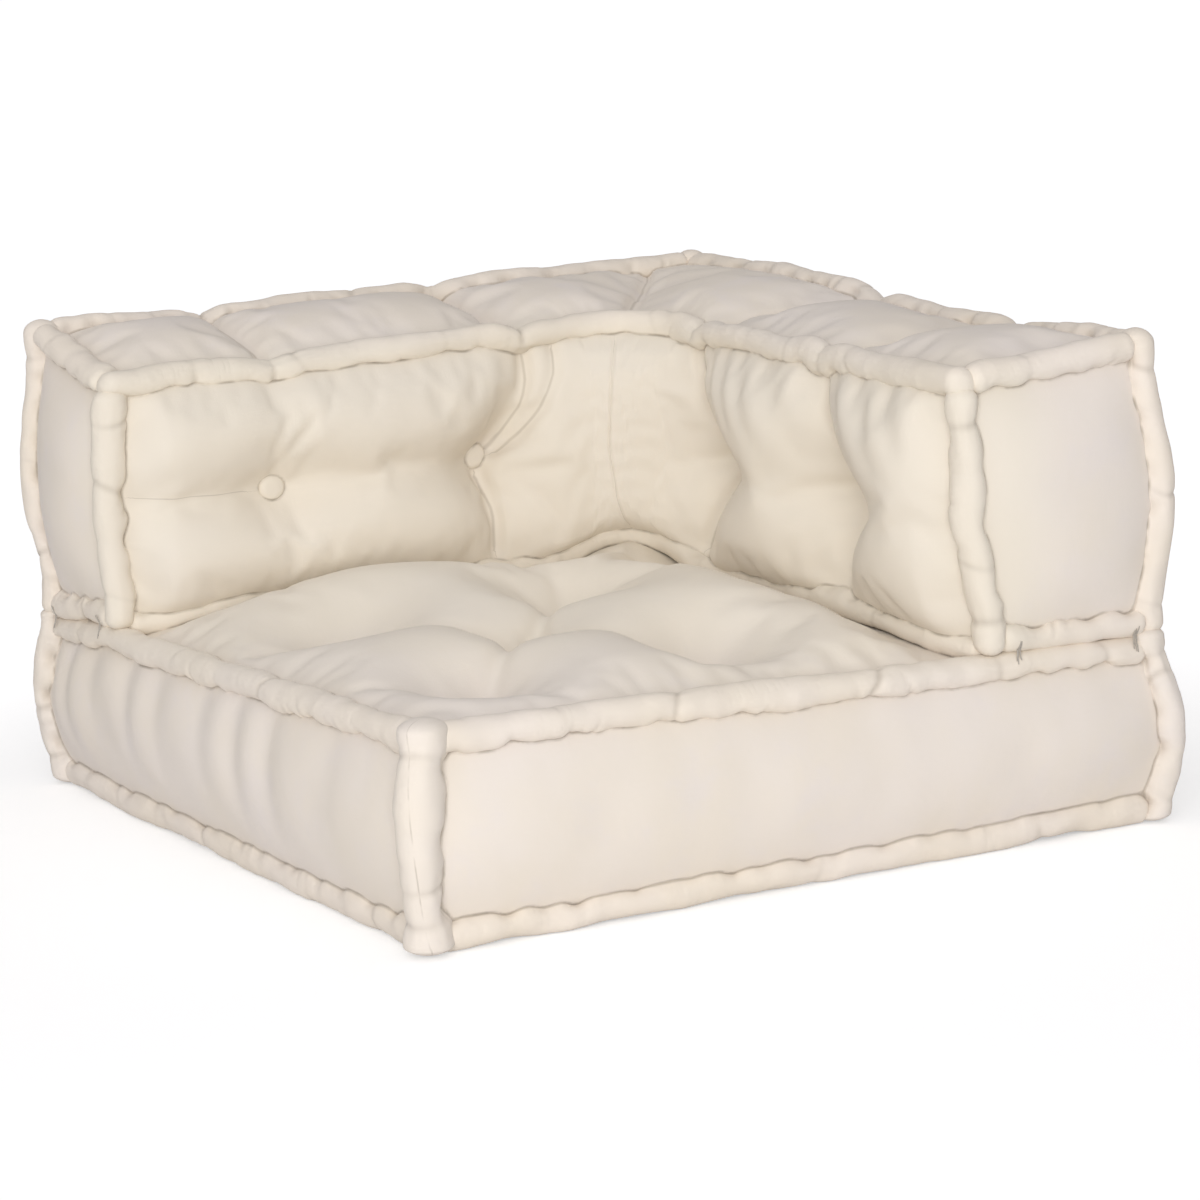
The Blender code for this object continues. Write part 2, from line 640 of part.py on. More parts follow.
def build_arm_rolls(arm):
    """The straight rolls of one arm: along its outer edges, across its end and up its end."""
    name, last = arm.name, arm.length - REACH
    for level, z in (("top", OUTER_TOP), ("bottom", BACK_LOW)):
        roll(f"{name}_{level}_roll_outer", run(arm.point(REACH, 0, z), arm.point(last, 0, z)))
    near, far = REACH, SPAN - REACH
    roll(f"{name}_bottom_roll_end", run(arm.point(0, near, BACK_LOW), arm.point(0, far, BACK_LOW)))
    lean = ROLL_RADIUS * INNER_DROP / SPAN  # how far the sloping roll's ends tip over
    near, far = near + lean, far - lean
    roll(f"{name}_top_roll_end",
         run(arm.point(0, near, arm.top_level(near)), arm.point(0, far, arm.top_level(far))))
    foot = SEAT_HEIGHT + GAP
    for side, o, top in (("outer", 0, BACK_HEIGHT), ("inner", SPAN, BACK_HEIGHT - INNER_DROP)):
        route = [*run(arm.point(0, o, foot), arm.point(0, o, top - KNOB_HEIGHT)), arm.point(0, o, top)]
        roll(f"{name}_upright_roll_{side}", route, knobs=(-1,))


def build_corner_rolls():
    """The two inner rolls, which turn the corner in one piece, and the upright roll of the outer corner."""
    top = [[arm.point(*inner, INNER_TOP) for inner, _, _ in arm.stations] for arm in (REAR, SIDE)]
    roll("back_top_roll_inner", joined(*top))
    bottom = [[arm.point(*inner, arm.inner_roll_level(inner)) for inner, _, _ in arm.stations]
              for arm in (REAR, SIDE)]
    roll("back_bottom_roll_inner", joined(*bottom))
    foot, neck, tip = (REAR.point(REAR.length, 0, z)
                       for z in (SEAT_HEIGHT + GAP, BACK_HEIGHT - KNOB_HEIGHT, BACK_HEIGHT))
    roll("back_corner_roll", [*run(foot, neck), tip], knobs=(-1,))


def build_buttons(arm):
    """Covered buttons on both faces of an arm; the inner one carries the twine that draws them together."""
    for number, b in enumerate(arm.buttons, 1):
        inner, outer = [], []
        for i in (-1, 1):
            for j in (-1, 1):
                a, z = b + i * BUTTON_FLAT, BUTTON_LEVEL + j * BUTTON_FLAT
                low, high = arm.inner_low((a, SPAN)), INNER_TOP - REACH
                inner.append(SPAN + arm.inner_out((a, SPAN), z, low, high))
                outer.append(arm.outer_out(a, z))
        seat_in, seat_out = max(inner) + GAP, -max(outer) - GAP
        tail = seat_out - seat_in + GAP  # the twine ends just under the outer button
        head = [(BUTTON_RADIUS, 0), (BUTTON_RADIUS, BUTTON_RIM),
                (BUTTON_RADIUS * 0.7, BUTTON_RIM + BUTTON_DOME * 0.7), (0, BUTTON_RIM + BUTTON_DOME)]
        turned(f"{arm.name}_button_{number}", [(0, tail), (TWINE_RADIUS, tail), (TWINE_RADIUS, 0), *head],
               arm.point(b, seat_in, BUTTON_LEVEL), arm.direction(0, 1), BUTTON_CANVAS)
        turned(f"{arm.name}_outer_button_{number}", [(0, 0), *head],
               arm.point(b, seat_out, BUTTON_LEVEL), arm.direction(0, -1), BUTTON_CANVAS)


def build_tacks(arm):
    """Thread at both sides of an arm's end, round the end's bottom roll and the seat's roll under it."""
    reach = ROLL_RADIUS + GAP + TACK_RADIUS
    angles = even(TACK_SWEEP, -TACK_BRIDGE, 3)
    for side, o in (("inner", SPAN - TACK_INSET), ("outer", TACK_INSET)):
        upper = [(angle, BACK_LOW) for angle in angles]
        lower = [(-angle, SEAT_TOP) for angle in reversed(angles)]
        turns = [(math.radians(angle), z) for angle, z in upper + lower]
        route = [arm.point(-reach * math.cos(turn), o, z + reach * math.sin(turn)) for turn, z in turns]
        thread = roll(f"{arm.name}_tack_{side}", route)
        thread.data.bevel_depth = TACK_RADIUS
        thread.data.materials[0] = THREAD


for old in list(bpy.data.objects):
    bpy.data.objects.remove(old)
build_seat()
build_back()
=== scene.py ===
import random
from math import acos, atan2, cos, exp, hypot, pi, radians, sin, tau

import bpy
from mathutils import Matrix, Vector, noise
from mathutils.bvhtree import BVHTree


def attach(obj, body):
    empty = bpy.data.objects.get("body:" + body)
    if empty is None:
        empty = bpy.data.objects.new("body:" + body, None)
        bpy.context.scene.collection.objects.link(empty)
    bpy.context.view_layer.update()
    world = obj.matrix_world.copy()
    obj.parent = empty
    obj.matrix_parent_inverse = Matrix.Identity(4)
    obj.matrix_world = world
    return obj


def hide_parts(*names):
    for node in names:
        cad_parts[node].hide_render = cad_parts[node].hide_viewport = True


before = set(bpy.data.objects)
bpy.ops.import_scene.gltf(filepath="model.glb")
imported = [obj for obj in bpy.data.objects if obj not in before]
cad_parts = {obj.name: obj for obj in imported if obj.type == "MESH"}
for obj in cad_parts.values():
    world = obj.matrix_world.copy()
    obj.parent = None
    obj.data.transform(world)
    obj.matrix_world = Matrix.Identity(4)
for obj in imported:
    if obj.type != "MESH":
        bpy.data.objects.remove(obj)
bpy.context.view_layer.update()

print("frame loaded:", len(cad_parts), "nodes")


# small tools

def pull(distance, spread, power=2):
    return exp(-(abs(distance / spread) ** power))


def ramp(value, start, end):
    t = min(max((value - start) / (end - start), 0), 1)
    return t * t * (3 - 2 * t)


def mix(low, high, share):
    return low + (high - low) * share


def dome(share, power=4):
    return 1 - min(abs(share), 1) ** power


def wander(place, size, seed):
    # smooth noise from -1 to 1 along a line; the steps keep the lines of two seeds apart
    stepY, stepZ = 7.31, 1.7
    return noise.noise(Vector((place / size, seed * stepY, seed * stepZ)))


def deselectAll():
    if bpy.context.object and bpy.context.object.mode != "OBJECT":
        bpy.ops.object.mode_set(mode="OBJECT")
    bpy.ops.object.select_all(action="DESELECT")


def pick(piece):
    deselectAll()
    piece.select_set(True)
    bpy.context.view_layer.objects.active = piece


def applyModifier(piece, name):
    pick(piece)
    bpy.ops.object.modifier_apply(modifier=name)


def faceOutward(weld=None):
    bpy.ops.object.mode_set(mode="EDIT")
    bpy.ops.mesh.select_all(action="SELECT")
    if weld:
        bpy.ops.mesh.remove_doubles(threshold=weld)
    bpy.ops.mesh.normals_make_consistent(inside=False)
    bpy.ops.object.mode_set(mode="OBJECT")


def readLay(piece, *labels):
    # what the points of a mesh carry, one list per label
    return [[entry.value for entry in piece.data.attributes[label].data] for label in labels]


def writeLay(piece, label, values):
    piece.data.attributes.new(label, "FLOAT", "POINT")
    piece.data.attributes[label].data.foreach_set("value", values)


def standIn(piece, node):
    # the finer piece takes the place of one node of the CAD
    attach(piece, "root")
    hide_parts(node)
    return piece


# sizes that both mattresses share, as in the CAD; then the cell of a cover's mesh, the distances from a roll
# at which it is pinned, free, calmed and far away, and how near points are welded
shared = {"half": 0.3605, "rollRadius": 0.0145, "cell": 0.0085, "pinned": 0.009, "free": 0.017,
          "calm": (0.002, 0.012), "far": 0.05, "weld": 0.0004}
# a hold is where the pins of a cover fade in or out
seat = {"low": 0.0145, "top": 0.1655, "height": 0.180, "bow": 0.012, "sideCrown": 0.012, "crown": 0.050,
        "alongPower": 8, "upPower": 6, "rows": 18, "underside": 0.0006, "underReach": 0.035,
        "tuftInset": 0.140, "tuftPitch": 0.215, "tuftDepth": 0.048, "tuftSpread": 0.056,
        "tuftHold": (0.005, 0.014), "valley": 0.007, "valleySpread": 0.016,
        "pressedRear": 0.50, "rearPress": 0.10, "pressedSide": 0.75, "sidePress": 0.13, "pressEnd": 0.005,
        "hollow": 0.033, "hollowReach": 0.062, "hollowPin": 0.9,
        "hollowPlaces": ((0.035, 0.145, 1.0), (-0.060, 0.155, 0.35), (0.145, 0.045, 0.7)),
        "cornerRise": 0.024, "risePlace": 0.165, "riseReach": 0.055,
        "swellPlace": -0.14, "swellReach": 0.06, "frontPin": 0.85, "frontHold": (-0.06, -0.01),
        "coveredHold": (0.005, 0.03), "pressure": 3.2, "slack": 0.03, "cap": 0.018, "calmRounds": 30}
back = {"low": 0.1948, "outerTop": 0.4325, "innerTop": 0.4065, "span": 0.165, "corner": 0.085,
        "stations": 176, "straight": 0.75, "rows": 27, "across": 20,
        "innerCrown": 0.042, "innerRise": 0.045, "upperPower": 4, "lowerPower": 7,
        "outerCrown": 0.022, "outerRise": 0.05, "outerSink": 0.010, "sinkSpread": 0.040, "sinkPower": 6,
        "endCrown": 0.012, "endPower": 6, "topCrown": 0.014, "topRise": 0.05, "topCrease": 0.660,
        "cornerFill": 0.010, "fillReach": 0.10, "pillowPower": 2.6, "waistSpread": 0.030,
        "waistEnd": (-0.02, 0.06), "dipSpread": 0.018, "sagPlace": 0.28, "sagReach": 0.16,
        "cornerLift": 0.006, "liftReach": 0.070, "foot": 0.014, "footReach": 0.07, "bedded": 0.004,
        "endDrop": 0.0045, "endStart": 0.037, "overEnd": 0.012, "overSeat": 0.002, "underReach": 0.03,
        "buttonHold": (0.008, 0.016), "valleyHold": (0.003, 0.011), "outerPin": 0.5, "topPin": 0.85,
        "creasePin": 0.8, "bendPin": 0.45, "bendHold": (-0.05, 0.01),
        "pressure": 3.0, "slack": 0.03, "cap": 0.016, "calmEnds": 24, "calmInner": 3}
# per arm: places of the buttons along it and their level; how far the valleys lean to the corner at the top
# and the bottom; where the outer top roll is drawn down and how much it sags; how deep each button is drawn
# in, how far that reaches along and up, and how roundly; how much of the pillows' height is left in the
# valleys (at the end, over the two buttons, at the corner); how firmly the valleys are pinned
armFacts = {
    "rear": {"buttons": (0.158, 0.378), "level": 0.293, "leans": ((0, 0), (0.040, 0.006)), "leanPower": 2,
             "outerDips": (0.160, 0.402), "sag": 0.0,
             "sinks": ((0.017, 0.040, 0.030, 2), (0.030, 0.034, 0.044, 2)),
             "floors": (0.40, 0.88, 0.15, 0.15), "waist": 0.55, "innerDip": 0.006, "outerDip": 0.007,
             "valleyPin": 0.5},
    "side": {"buttons": (0.190, 0.410), "level": 0.288, "leans": ((0.022, 0.009), (0.034, 0.026)),
             "leanPower": 1, "outerDips": (0.170, 0.390), "sag": 0.012,
             "sinks": ((0.050, 0.060, 0.042, 1.3), (0.052, 0.060, 0.042, 1.3)),
             "floors": (0.30, 0.08, 0.08, 0.08), "waist": 0.15, "innerDip": 0.005, "outerDip": 0.011,
             "valleyPin": 0.85}}
half = shared["half"]
rollRadius = shared["rollRadius"]
innerLine = half - back["span"]


# camera, as fitted to the photograph
view = {"azimuth": -29.858, "elevation": 10.685, "distance": 3.734, "aim": 0.22, "lens": 123.56,
        "roll": -1.74, "shift": (0.0121, -0.0297), "sensor": 36, "clipEnd": 50}


def makeCamera():
    azimuth, elevation = radians(view["azimuth"]), radians(view["elevation"])
    away = Vector((sin(azimuth) * cos(elevation), -cos(azimuth) * cos(elevation),
                   sin(elevation)))
    right = Vector((cos(azimuth), sin(azimuth), 0))
    upward = away.cross(right)
    spin = Matrix((right, upward, away)).transposed() @ Matrix.Rotation(radians(view["roll"]), 3, "Z")
    deselectAll()
    bpy.ops.object.camera_add(location=away * view["distance"] + Vector((0, 0, view["aim"])),
                              rotation=spin.to_euler())
    camera = bpy.context.object
    camera.name = "photoCamera"
    camera.data.lens = view["lens"]
    camera.data.sensor_width = view["sensor"]
    camera.data.shift_x, camera.data.shift_y = view["shift"]
    camera.data.clip_end = view["clipEnd"]
    bpy.context.scene.camera = camera


makeCamera()


# how the hand-made module has settled: shifts at the crossings of three columns, three rows and four levels
settle = {
    "columns": (-half, innerLine, half), "rows": (-half, innerLine, half),
    "levels": (0.0, 0.18, 0.31, 0.4325),
    "shifts": {
        (0, 0, 1): (0.0, 0.0, 0.0085), (2, 0, 1): (-0.004, 0.0, -0.0085),
        (0, 2, 1): (-0.003, 0.002, -0.014), (1, 0, 1): (-0.0055, 0.0, -0.005),
        (0, 1, 1): (-0.006, 0.016, -0.003), (1, 1, 1): (-0.010, 0.006, 0.0),
        (0, 2, 2): (-0.015, 0.006, -0.006), (0, 1, 2): (-0.013, 0.012, -0.006),
        (1, 0, 2): (-0.029, -0.002, 0.0), (2, 0, 2): (0.004, -0.006, -0.008),
        (1, 1, 2): (-0.010, 0.003, 0.0), (2, 2, 2): (-0.008, 0.004, 0.004),
        (0, 2, 3): (-0.006, 0.0, -0.006), (0, 1, 3): (-0.0055, 0.012, -0.009),
        (2, 2, 3): (-0.020, 0.0, 0.001), (2, 1, 3): (-0.014, 0.0, 0.003), (1, 1, 3): (-0.012, 0.0, 0.001),
        (1, 0, 3): (-0.034, 0.0, 0.004), (2, 0, 3): (-0.0135, 0.0, -0.0085)}}


def bracket(value, marks):
    # the mark below a value, and how far it is to the next
    k = 0
    while k < len(marks) - 2 and value > marks[k + 1]:
        k += 1
    return k, ramp(value, marks[k], marks[k + 1])


def settled(point):
    i, u = bracket(point.x, settle["columns"])
    j, v = bracket(point.y, settle["rows"])
    k, w = bracket(point.z, settle["levels"])
    shift = Vector((0, 0, 0))
    for column, shareX in ((i, 1 - u), (i + 1, u)):
        for row, shareY in ((j, 1 - v), (j + 1, v)):
            for level, shareZ in ((k, 1 - w), (k + 1, w)):
                here = settle["shifts"].get((column, row, level))
                if here:
                    shift += Vector(here) * (shareX * shareY * shareZ)
    return point + shift


def settlePiece(piece):
    for vertex in piece.data.vertices:
        vertex.co = settled(vertex.co)


# a grid primitive laid on a surface; place gives the point, the pin weight, the cloth's own (along, up) and
# the distance to the nearest roll
def clothGrid(name, countU, countV, face, place):
    deselectAll()
    bpy.ops.mesh.primitive_grid_add(x_subdivisions=countU, y_subdivisions=countV, size=1)
    patch = bpy.context.object
    patch.name = name
    mesh = patch.data
    pin = patch.vertex_groups.new(name="pin")
    lay = []
    for vertex in mesh.vertices:
        point, weight, along, up, edge = place(vertex.co.x + 0.5, vertex.co.y + 0.5)
        vertex.co = point
        pin.add([vertex.index], min(max(weight, 0), 1), "REPLACE")
        lay.append((along, up, edge, face))
    for k, label in enumerate(("along", "up", "edge", "face")):
        writeLay(patch, label, [row[k] for row in lay])
    uv = mesh.uv_layers.active or mesh.uv_layers.new(name="UVMap")
    for loop in mesh.loops:
        uv.data[loop.index].uv = lay[loop.vertex_index][:2]
    return patch


def sewTogether(name, patches):
    deselectAll()
    for patch in patches:
        patch.select_set(True)
    bpy.context.view_layer.objects.active = patches[0]
    bpy.ops.object.join()
    cover = bpy.context.object
    cover.name = name
    faceOutward(shared["weld"])
    return cover


clothSettings = {"quality": 5, "mass": 0.25, "tension_stiffness": 18, "compression_stiffness": 18,
                 "shear_stiffness": 8, "bending_stiffness": 0.6, "air_damping": 2, "use_pressure": True,
                 "vertex_group_mass": "pin", "pin_stiffness": 1.2}
clothFrames = 20


# cloth simulation under pressure, with the stitched places pinned; cap is how far a point may move
def puffUp(cover, pressure, slack, cap):
    before = [v.co.copy() for v in cover.data.vertices]
    cloth = cover.modifiers.new("puff", "CLOTH")
    for name, value in clothSettings.items():
        setattr(cloth.settings, name, value)
    cloth.settings.uniform_pressure_force = pressure
    cloth.settings.shrink_min = -slack
    cloth.settings.effector_weights.gravity = 0
    cloth.collision_settings.use_collision = False
    cloth.collision_settings.use_self_collision = False
    cloth.point_cache.frame_start = 1
    cloth.point_cache.frame_end = clothFrames
    for step in range(1, clothFrames + 1):
        bpy.context.scene.frame_set(step)
    applyModifier(cover, "puff")
    bpy.context.scene.frame_set(1)
    moved = [(v.co - old).length for v, old in zip(cover.data.vertices, before)]
    for vertex, old, far in zip(cover.data.vertices, before, moved):
        if far > cap:
            vertex.co = old + (vertex.co - old) * (cap / far)
    print(cover.name, "puffed:", round(max(moved) * 1000), "mm at most,",
          round(sum(moved) / len(moved) * 1000, 1), "mm on average")


def finishCloth(piece):
    smooth = piece.modifiers.new("smooth", "SUBSURF")
    smooth.levels = 1
    smooth.render_levels = 1
    applyModifier(piece, "smooth")
    bpy.ops.object.shade_smooth()


# panels that are stuffed tight lie smooth between their seams
def calm(cover, sides, rounds):
    face, edge = readLay(cover, "face", "edge")
    group = cover.vertex_groups.new(name="calm")
    for k in range(len(cover.data.vertices)):
        if round(face[k]) in sides:
            group.add([k], ramp(edge[k], *shared["calm"]), "REPLACE")
    smooth = cover.modifiers.new("calm", "SMOOTH")
    smooth.iterations = rounds
    smooth.vertex_group = "calm"
    applyModifier(cover, "calm")


# folds that the stitching draws into a cover, pushed along the normals; fold gives the depth at a point
def addFolds(cover, fold):
    mesh = cover.data
    along, up, edge, face = readLay(cover, "along", "up", "edge", "face")
    normals = [vertex.normal.copy() for vertex in mesh.vertices]
    for k, vertex in enumerate(mesh.vertices):
        depth = fold(round(face[k]), along[k], up[k], edge[k])
        if depth:
            vertex.co += normals[k] * depth


# how uneven gathers are and over how many pitches; their ridges, the level that counts as flat, their furrows
gatherShape = {"uneven": 0.9, "pitches": 2.2, "ridge": 0.75, "level": 0.62, "furrow": 0.25}


def gathers(place, pitch, seed):
    # broad ridges with narrow furrows between them, uneven as hand gathering is
    phase = place / pitch + gatherShape["uneven"] * wander(place, gatherShape["pitches"] * pitch, seed)
    ridge = abs(sin(pi * phase)) - gatherShape["level"]
    return gatherShape["ridge"] * ridge - gatherShape["furrow"] * cos(tau * phase)


# seat

faces = {"seatTop": 1, "seatUnder": 2, "seatFront": 3, "seatRight": 4, "seatRear": 5, "seatLeft": 6,
         "inner": 11, "top": 12, "outer": 13, "under": 14, "rearEnd": 15, "sideEnd": 16}
# gathers on the seat's sides: heights and pitches, how they slant, and where they fade in
seatGathers = {"heights": {"seatFront": 0.0004, "seatRight": 0.0030, "seatRear": 0.0030}, "pitch": 0.062,
               "up": (0.05, 0.15), "edge": (0.004, 0.02),
               "leftHeight": 0.0047, "leftPitch": 0.072, "leftSeed": 3, "slant": 0.16, "slantFrom": 0.1,
               "leftUp": (0.03, 0.13), "leftAlong": (0.32, 0.12)}


def seatTufts():
    first = seat["tuftInset"] - half - rollRadius
    step = seat["tuftPitch"]
    return [(first, first), (first + step, first), (first, first + step), (first + step, first + step),
            (first + step / 2, first + step / 2)]


tufts = seatTufts()


def bow(z):
    return seat["bow"] * sin(pi * min(max((z - seat["low"]) / (seat["top"] - seat["low"]), 0), 1))


def cornerHollow(x, y):
    # the seat falls away on both sides of the inner corner of the back
    return max(share * pull(hypot(x - u, y - v), seat["hollowReach"])
               for u, v, share in seat["hollowPlaces"])


def tuftValley(x, y):
    # soft valleys from the middle tuft to the other four
    spot, middle = Vector((x, y)), Vector(tufts[4])
    gaps = []
    for other in tufts[:4]:
        way = Vector(other) - middle
        share = min(max((spot - middle).dot(way) / way.length_squared, 0), 1)
        gaps.append((spot - middle - way * share).length)
    return pull(min(gaps), seat["valleySpread"])


def seatLevel(x, y):
    # pressed down under the back
    crown = seat["crown"] * dome(x / half) * dome(y / half)
    crown *= 1 - seat["pressedRear"] * ramp(y, innerLine - seat["rearPress"], innerLine - seat["pressEnd"])
    crown *= 1 - seat["pressedSide"] * ramp(x, innerLine - seat["sidePress"], innerLine - seat["pressEnd"])
    crown -= seat["hollow"] * cornerHollow(x, y)
    toRise = hypot(x - seat["risePlace"], y - seat["risePlace"])
    crown += seat["cornerRise"] * pull(toRise, seat["riseReach"])
    dimples = sum(pull(hypot(x - u, y - v), seat["tuftSpread"]) for u, v in tufts)
    return seat["top"] + crown - seat["tuftDepth"] * dimples - seat["valley"] * tuftValley(x, y)


def edgePin(edge):
    return 1 - ramp(edge, shared["pinned"], shared["free"])


def makeSeatCover():
    columns = round(2 * half / shared["cell"])

    def top(u, v):
        x, y = mix(-half, half, u), mix(-half, half, v)
        edge = min(half - abs(x), half - abs(y))
        pin = edgePin(edge)
        for a, b in tufts:
            pin = max(pin, 1 - ramp(hypot(x - a, y - b), *seat["tuftHold"]))
        # pinned along the back and under it, but free in front of the rear arm's middle pillow
        swollen = pull(x - seat["swellPlace"], seat["swellReach"]) if y > x else 0
        front = [innerLine + place for place in seat["frontHold"]]
        covered = [innerLine + place for place in seat["coveredHold"]]
        pin = max(pin, seat["frontPin"] * ramp(max(x, y), *front) * (1 - swollen))
        pin = max(pin, seat["hollowPin"] * cornerHollow(x, y), ramp(max(x, y), *covered))
        return Vector((x, y, seatLevel(x, y))), pin, x, y, edge

    def bottom(u, v):
        x, y = mix(-half, half, u), mix(-half, half, v)
        edge = min(half - abs(x), half - abs(y))
        z = mix(seat["low"], seat["underside"], ramp(edge, 0, seat["underReach"]))
        return Vector((x, y, z)), 1, x, -y, edge

    def sidePlace(turn):
        def place(u, v):
            z = mix(seat["low"], seat["top"], v)
            share = 2 * u - 1
            crown = seat["sideCrown"] * dome(share, seat["alongPower"]) * dome(2 * v - 1, seat["upPower"])
            out = half + bow(z) + crown
            along = share * (half + bow(z))
            edge = min(half + bow(z) - abs(along), z - seat["low"], seat["top"] - z)
            return turn @ Vector((along, -out, z)), edgePin(edge), along, z, edge
        return place

    def fold(face, along, up, edge):
        facts = seatGathers
        if face == faces["seatLeft"]:
            # here along runs from the rear to the front
            window = ramp(along, *facts["leftAlong"]) * ramp(up, *facts["leftUp"])
            window *= ramp(edge, *facts["edge"])
            place = along + facts["slant"] * (up - facts["slantFrom"])
            return facts["leftHeight"] * window * gathers(place, facts["leftPitch"], facts["leftSeed"])
        for side, height in facts["heights"].items():
            if face == faces[side]:
                window = ramp(up, *facts["up"]) * ramp(edge, *facts["edge"])
                return height * window * gathers(along, facts["pitch"], face)
        return 0

    patches = [clothGrid("seatTop", columns, columns, faces["seatTop"], top),
               clothGrid("seatUnder", columns, columns, faces["seatUnder"], bottom)]
    sides = {"seatFront": 0, "seatRight": 90, "seatRear": 180, "seatLeft": 270}
    for side, angle in sides.items():
        turn = Matrix.Rotation(radians(angle), 3, "Z")
        patches.append(clothGrid("seatSide", columns, seat["rows"], faces[side], sidePlace(turn)))
    cover = sewTogether("seatCover", patches)
    puffUp(cover, seat["pressure"], seat["slack"], seat["cap"])
    calm(cover, [faces[side] for side in sides], seat["calmRounds"])
    addFolds(cover, fold)
    settlePiece(cover)
    finishCloth(cover)
    return cover


# back: a runs along an arm from its end to the corner, o in from its outer rolls, s along its inner roll

armLength = 2 * half
bend = armLength - back["span"] - back["corner"]
seamPlace = bend + back["corner"] * pi / 4


def rearArm(a, o, z):
    return Vector((a - half, half - o, z))


def sideArm(a, o, z):
    return Vector((half - o, a - half, z))


arms = {"rear": rearArm, "side": sideArm}


# where a station lies: inner point, normal to the seat, s and the outer place; t runs from 0 at the arm's end
# to 1 at the seam
def station(t):
    straight = back["straight"]
    if t <= straight:
        a = bend * t / straight
        return (a, back["span"]), (0, 1), a, a
    share = (t - straight) / (1 - straight)
    angle = radians(45) * share
    sine, cosine = sin(angle), cos(angle)
    inner = (bend + back["corner"] * sine, back["span"] + back["corner"] * (1 - cosine))
    return inner, (-sine, cosine), bend + back["corner"] * angle, mix(bend, armLength, share)


def innerLow(inner):
    # middle of the inner bottom roll, which lies on the crown of the seat
    place = rearArm(max(inner[0], back["endStart"]), inner[1], 0)
    steps = (-rollRadius, 0, rollRadius)
    under = max(seatLevel(place.x + i, place.y + j) for i in steps for j in steps)
    apex = station(1)[0]
    lift = back["cornerLift"] * pull(hypot(inner[0] - apex[0], inner[1] - apex[1]), back["liftReach"])
    return max(under + back["bedded"], seat["height"] - back["bedded"]) + lift


def foot(s):
    # how far the inner bottom roll lies in front of the inner top roll
    return back["foot"] * ramp(s, 0, back["footReach"])


def topValleys(arm):
    # where the valleys reach the inner top roll
    facts = armFacts[arm]
    return [b + high for b, (high, low) in zip(facts["buttons"], facts["leans"])]


def dips(arm, s, side):
    # the top rolls are drawn down above the buttons
    facts = armFacts[arm]
    places = facts["outerDips"] if side == "outerDip" else topValleys(arm)
    return facts[side] * sum(pull(s - place, back["dipSpread"]) for place in places)


def innerHigh(arm, s):
    return back["innerTop"] - dips(arm, s, "innerDip")


def outerHigh(arm, a):
    sag = armFacts[arm]["sag"] * pull(a - back["sagPlace"], back["sagReach"])
    return back["outerTop"] - dips(arm, a, "outerDip") - sag


def valleys(arm, z, low, high):
    # places of the two valleys of an inner face at a height
    facts = armFacts[arm]
    above = z > facts["level"]
    share = min((z - facts["level"]) / ((high if above else low) - facts["level"]), 1)
    rise = 1 - (1 - share) ** facts["leanPower"]
    return [b + rise * lean[0 if above else 1] for b, lean in zip(facts["buttons"], facts["leans"])]


def pillows(arm, s, end, places):
    # three pillows along an arm, from its end to its first valley, between the valleys, and on to the corner
    facts = armFacts[arm]
    marks = [0, *places, end]
    k = 0
    while k < 2 and s > marks[k + 1]:
        k += 1
    share = min(max((s - marks[k]) / (marks[k + 1] - marks[k]), 0), 1)
    floor = mix(facts["floors"][k], facts["floors"][k + 1], ramp(share, 0, 1))
    return floor + (1 - floor) * dome(2 * share - 1, back["pillowPower"])


def topPlaces(arm, v):
    return [mix(near, far, v) for near, far in zip(topValleys(arm), armFacts[arm]["outerDips"])]


def topPillows(arm, place, v):
    # on top a crease runs from the inner corner to the rear outer roll
    limit, crease = mix(seamPlace, armLength, v), mix(seamPlace, back["topCrease"], v)
    if arm == "rear" and place <= crease:
        return pillows(arm, place, crease, topPlaces(arm, v)), crease - place
    if arm == "rear":
        place = 2 * limit - place
    return pillows("side", place, 2 * limit - crease, topPlaces("side", v)), 2 * limit - crease - place


def buttonDistance(arm, s, z):
    return min(hypot(s - b, z - armFacts[arm]["level"]) for b in armFacts[arm]["buttons"])


def innerOut(arm, s, z, low, high):
    facts = armFacts[arm]
    places = valleys(arm, z, low, high)
    level = 2 * (z - low) / (high - low) - 1
    narrow = 1 - ramp(s, *[places[1] + reach for reach in back["waistEnd"]])
    waist = 1 - facts["waist"] * pull(z - facts["level"], back["waistSpread"]) * narrow
    out = back["innerCrown"] * pillows(arm, s, 2 * seamPlace - places[1], places) * waist
    out *= ramp(s, 0, back["innerRise"])
    taper = dome(level, back["upperPower"] if level > 0 else back["lowerPower"])
    out = (out + back["cornerFill"] * pull(s - seamPlace, back["fillReach"])) * taper
    if level < 0:
        out += foot(s) * (1 - taper)
    for place, (sink, alongReach, upReach, power) in zip(places, facts["sinks"]):
        depth = sink * pull(s - place, alongReach) * pull(z - facts["level"], upReach, power)
        out -= depth * dome(level, back["sinkPower"])
    return out


def outerOut(arm, s, z):
    level = 2 * (z - back["low"]) / (back["outerTop"] - back["low"]) - 1
    ends = ramp(s, 0, back["outerRise"]) * ramp(armLength - s, 0, back["outerRise"])
    out = back["outerCrown"] * dome(level) * pillows(arm, s, armLength, armFacts[arm]["buttons"]) * ends
    return out - back["outerSink"] * pull(buttonDistance(arm, s, z), back["sinkSpread"])


def valleyPin(s, places, weight):
    return weight * (1 - ramp(min(abs(s - place) for place in places), *back["valleyHold"]))


def buttonPin(arm, s, z):
    return 1 - ramp(buttonDistance(arm, s, z), *back["buttonHold"])


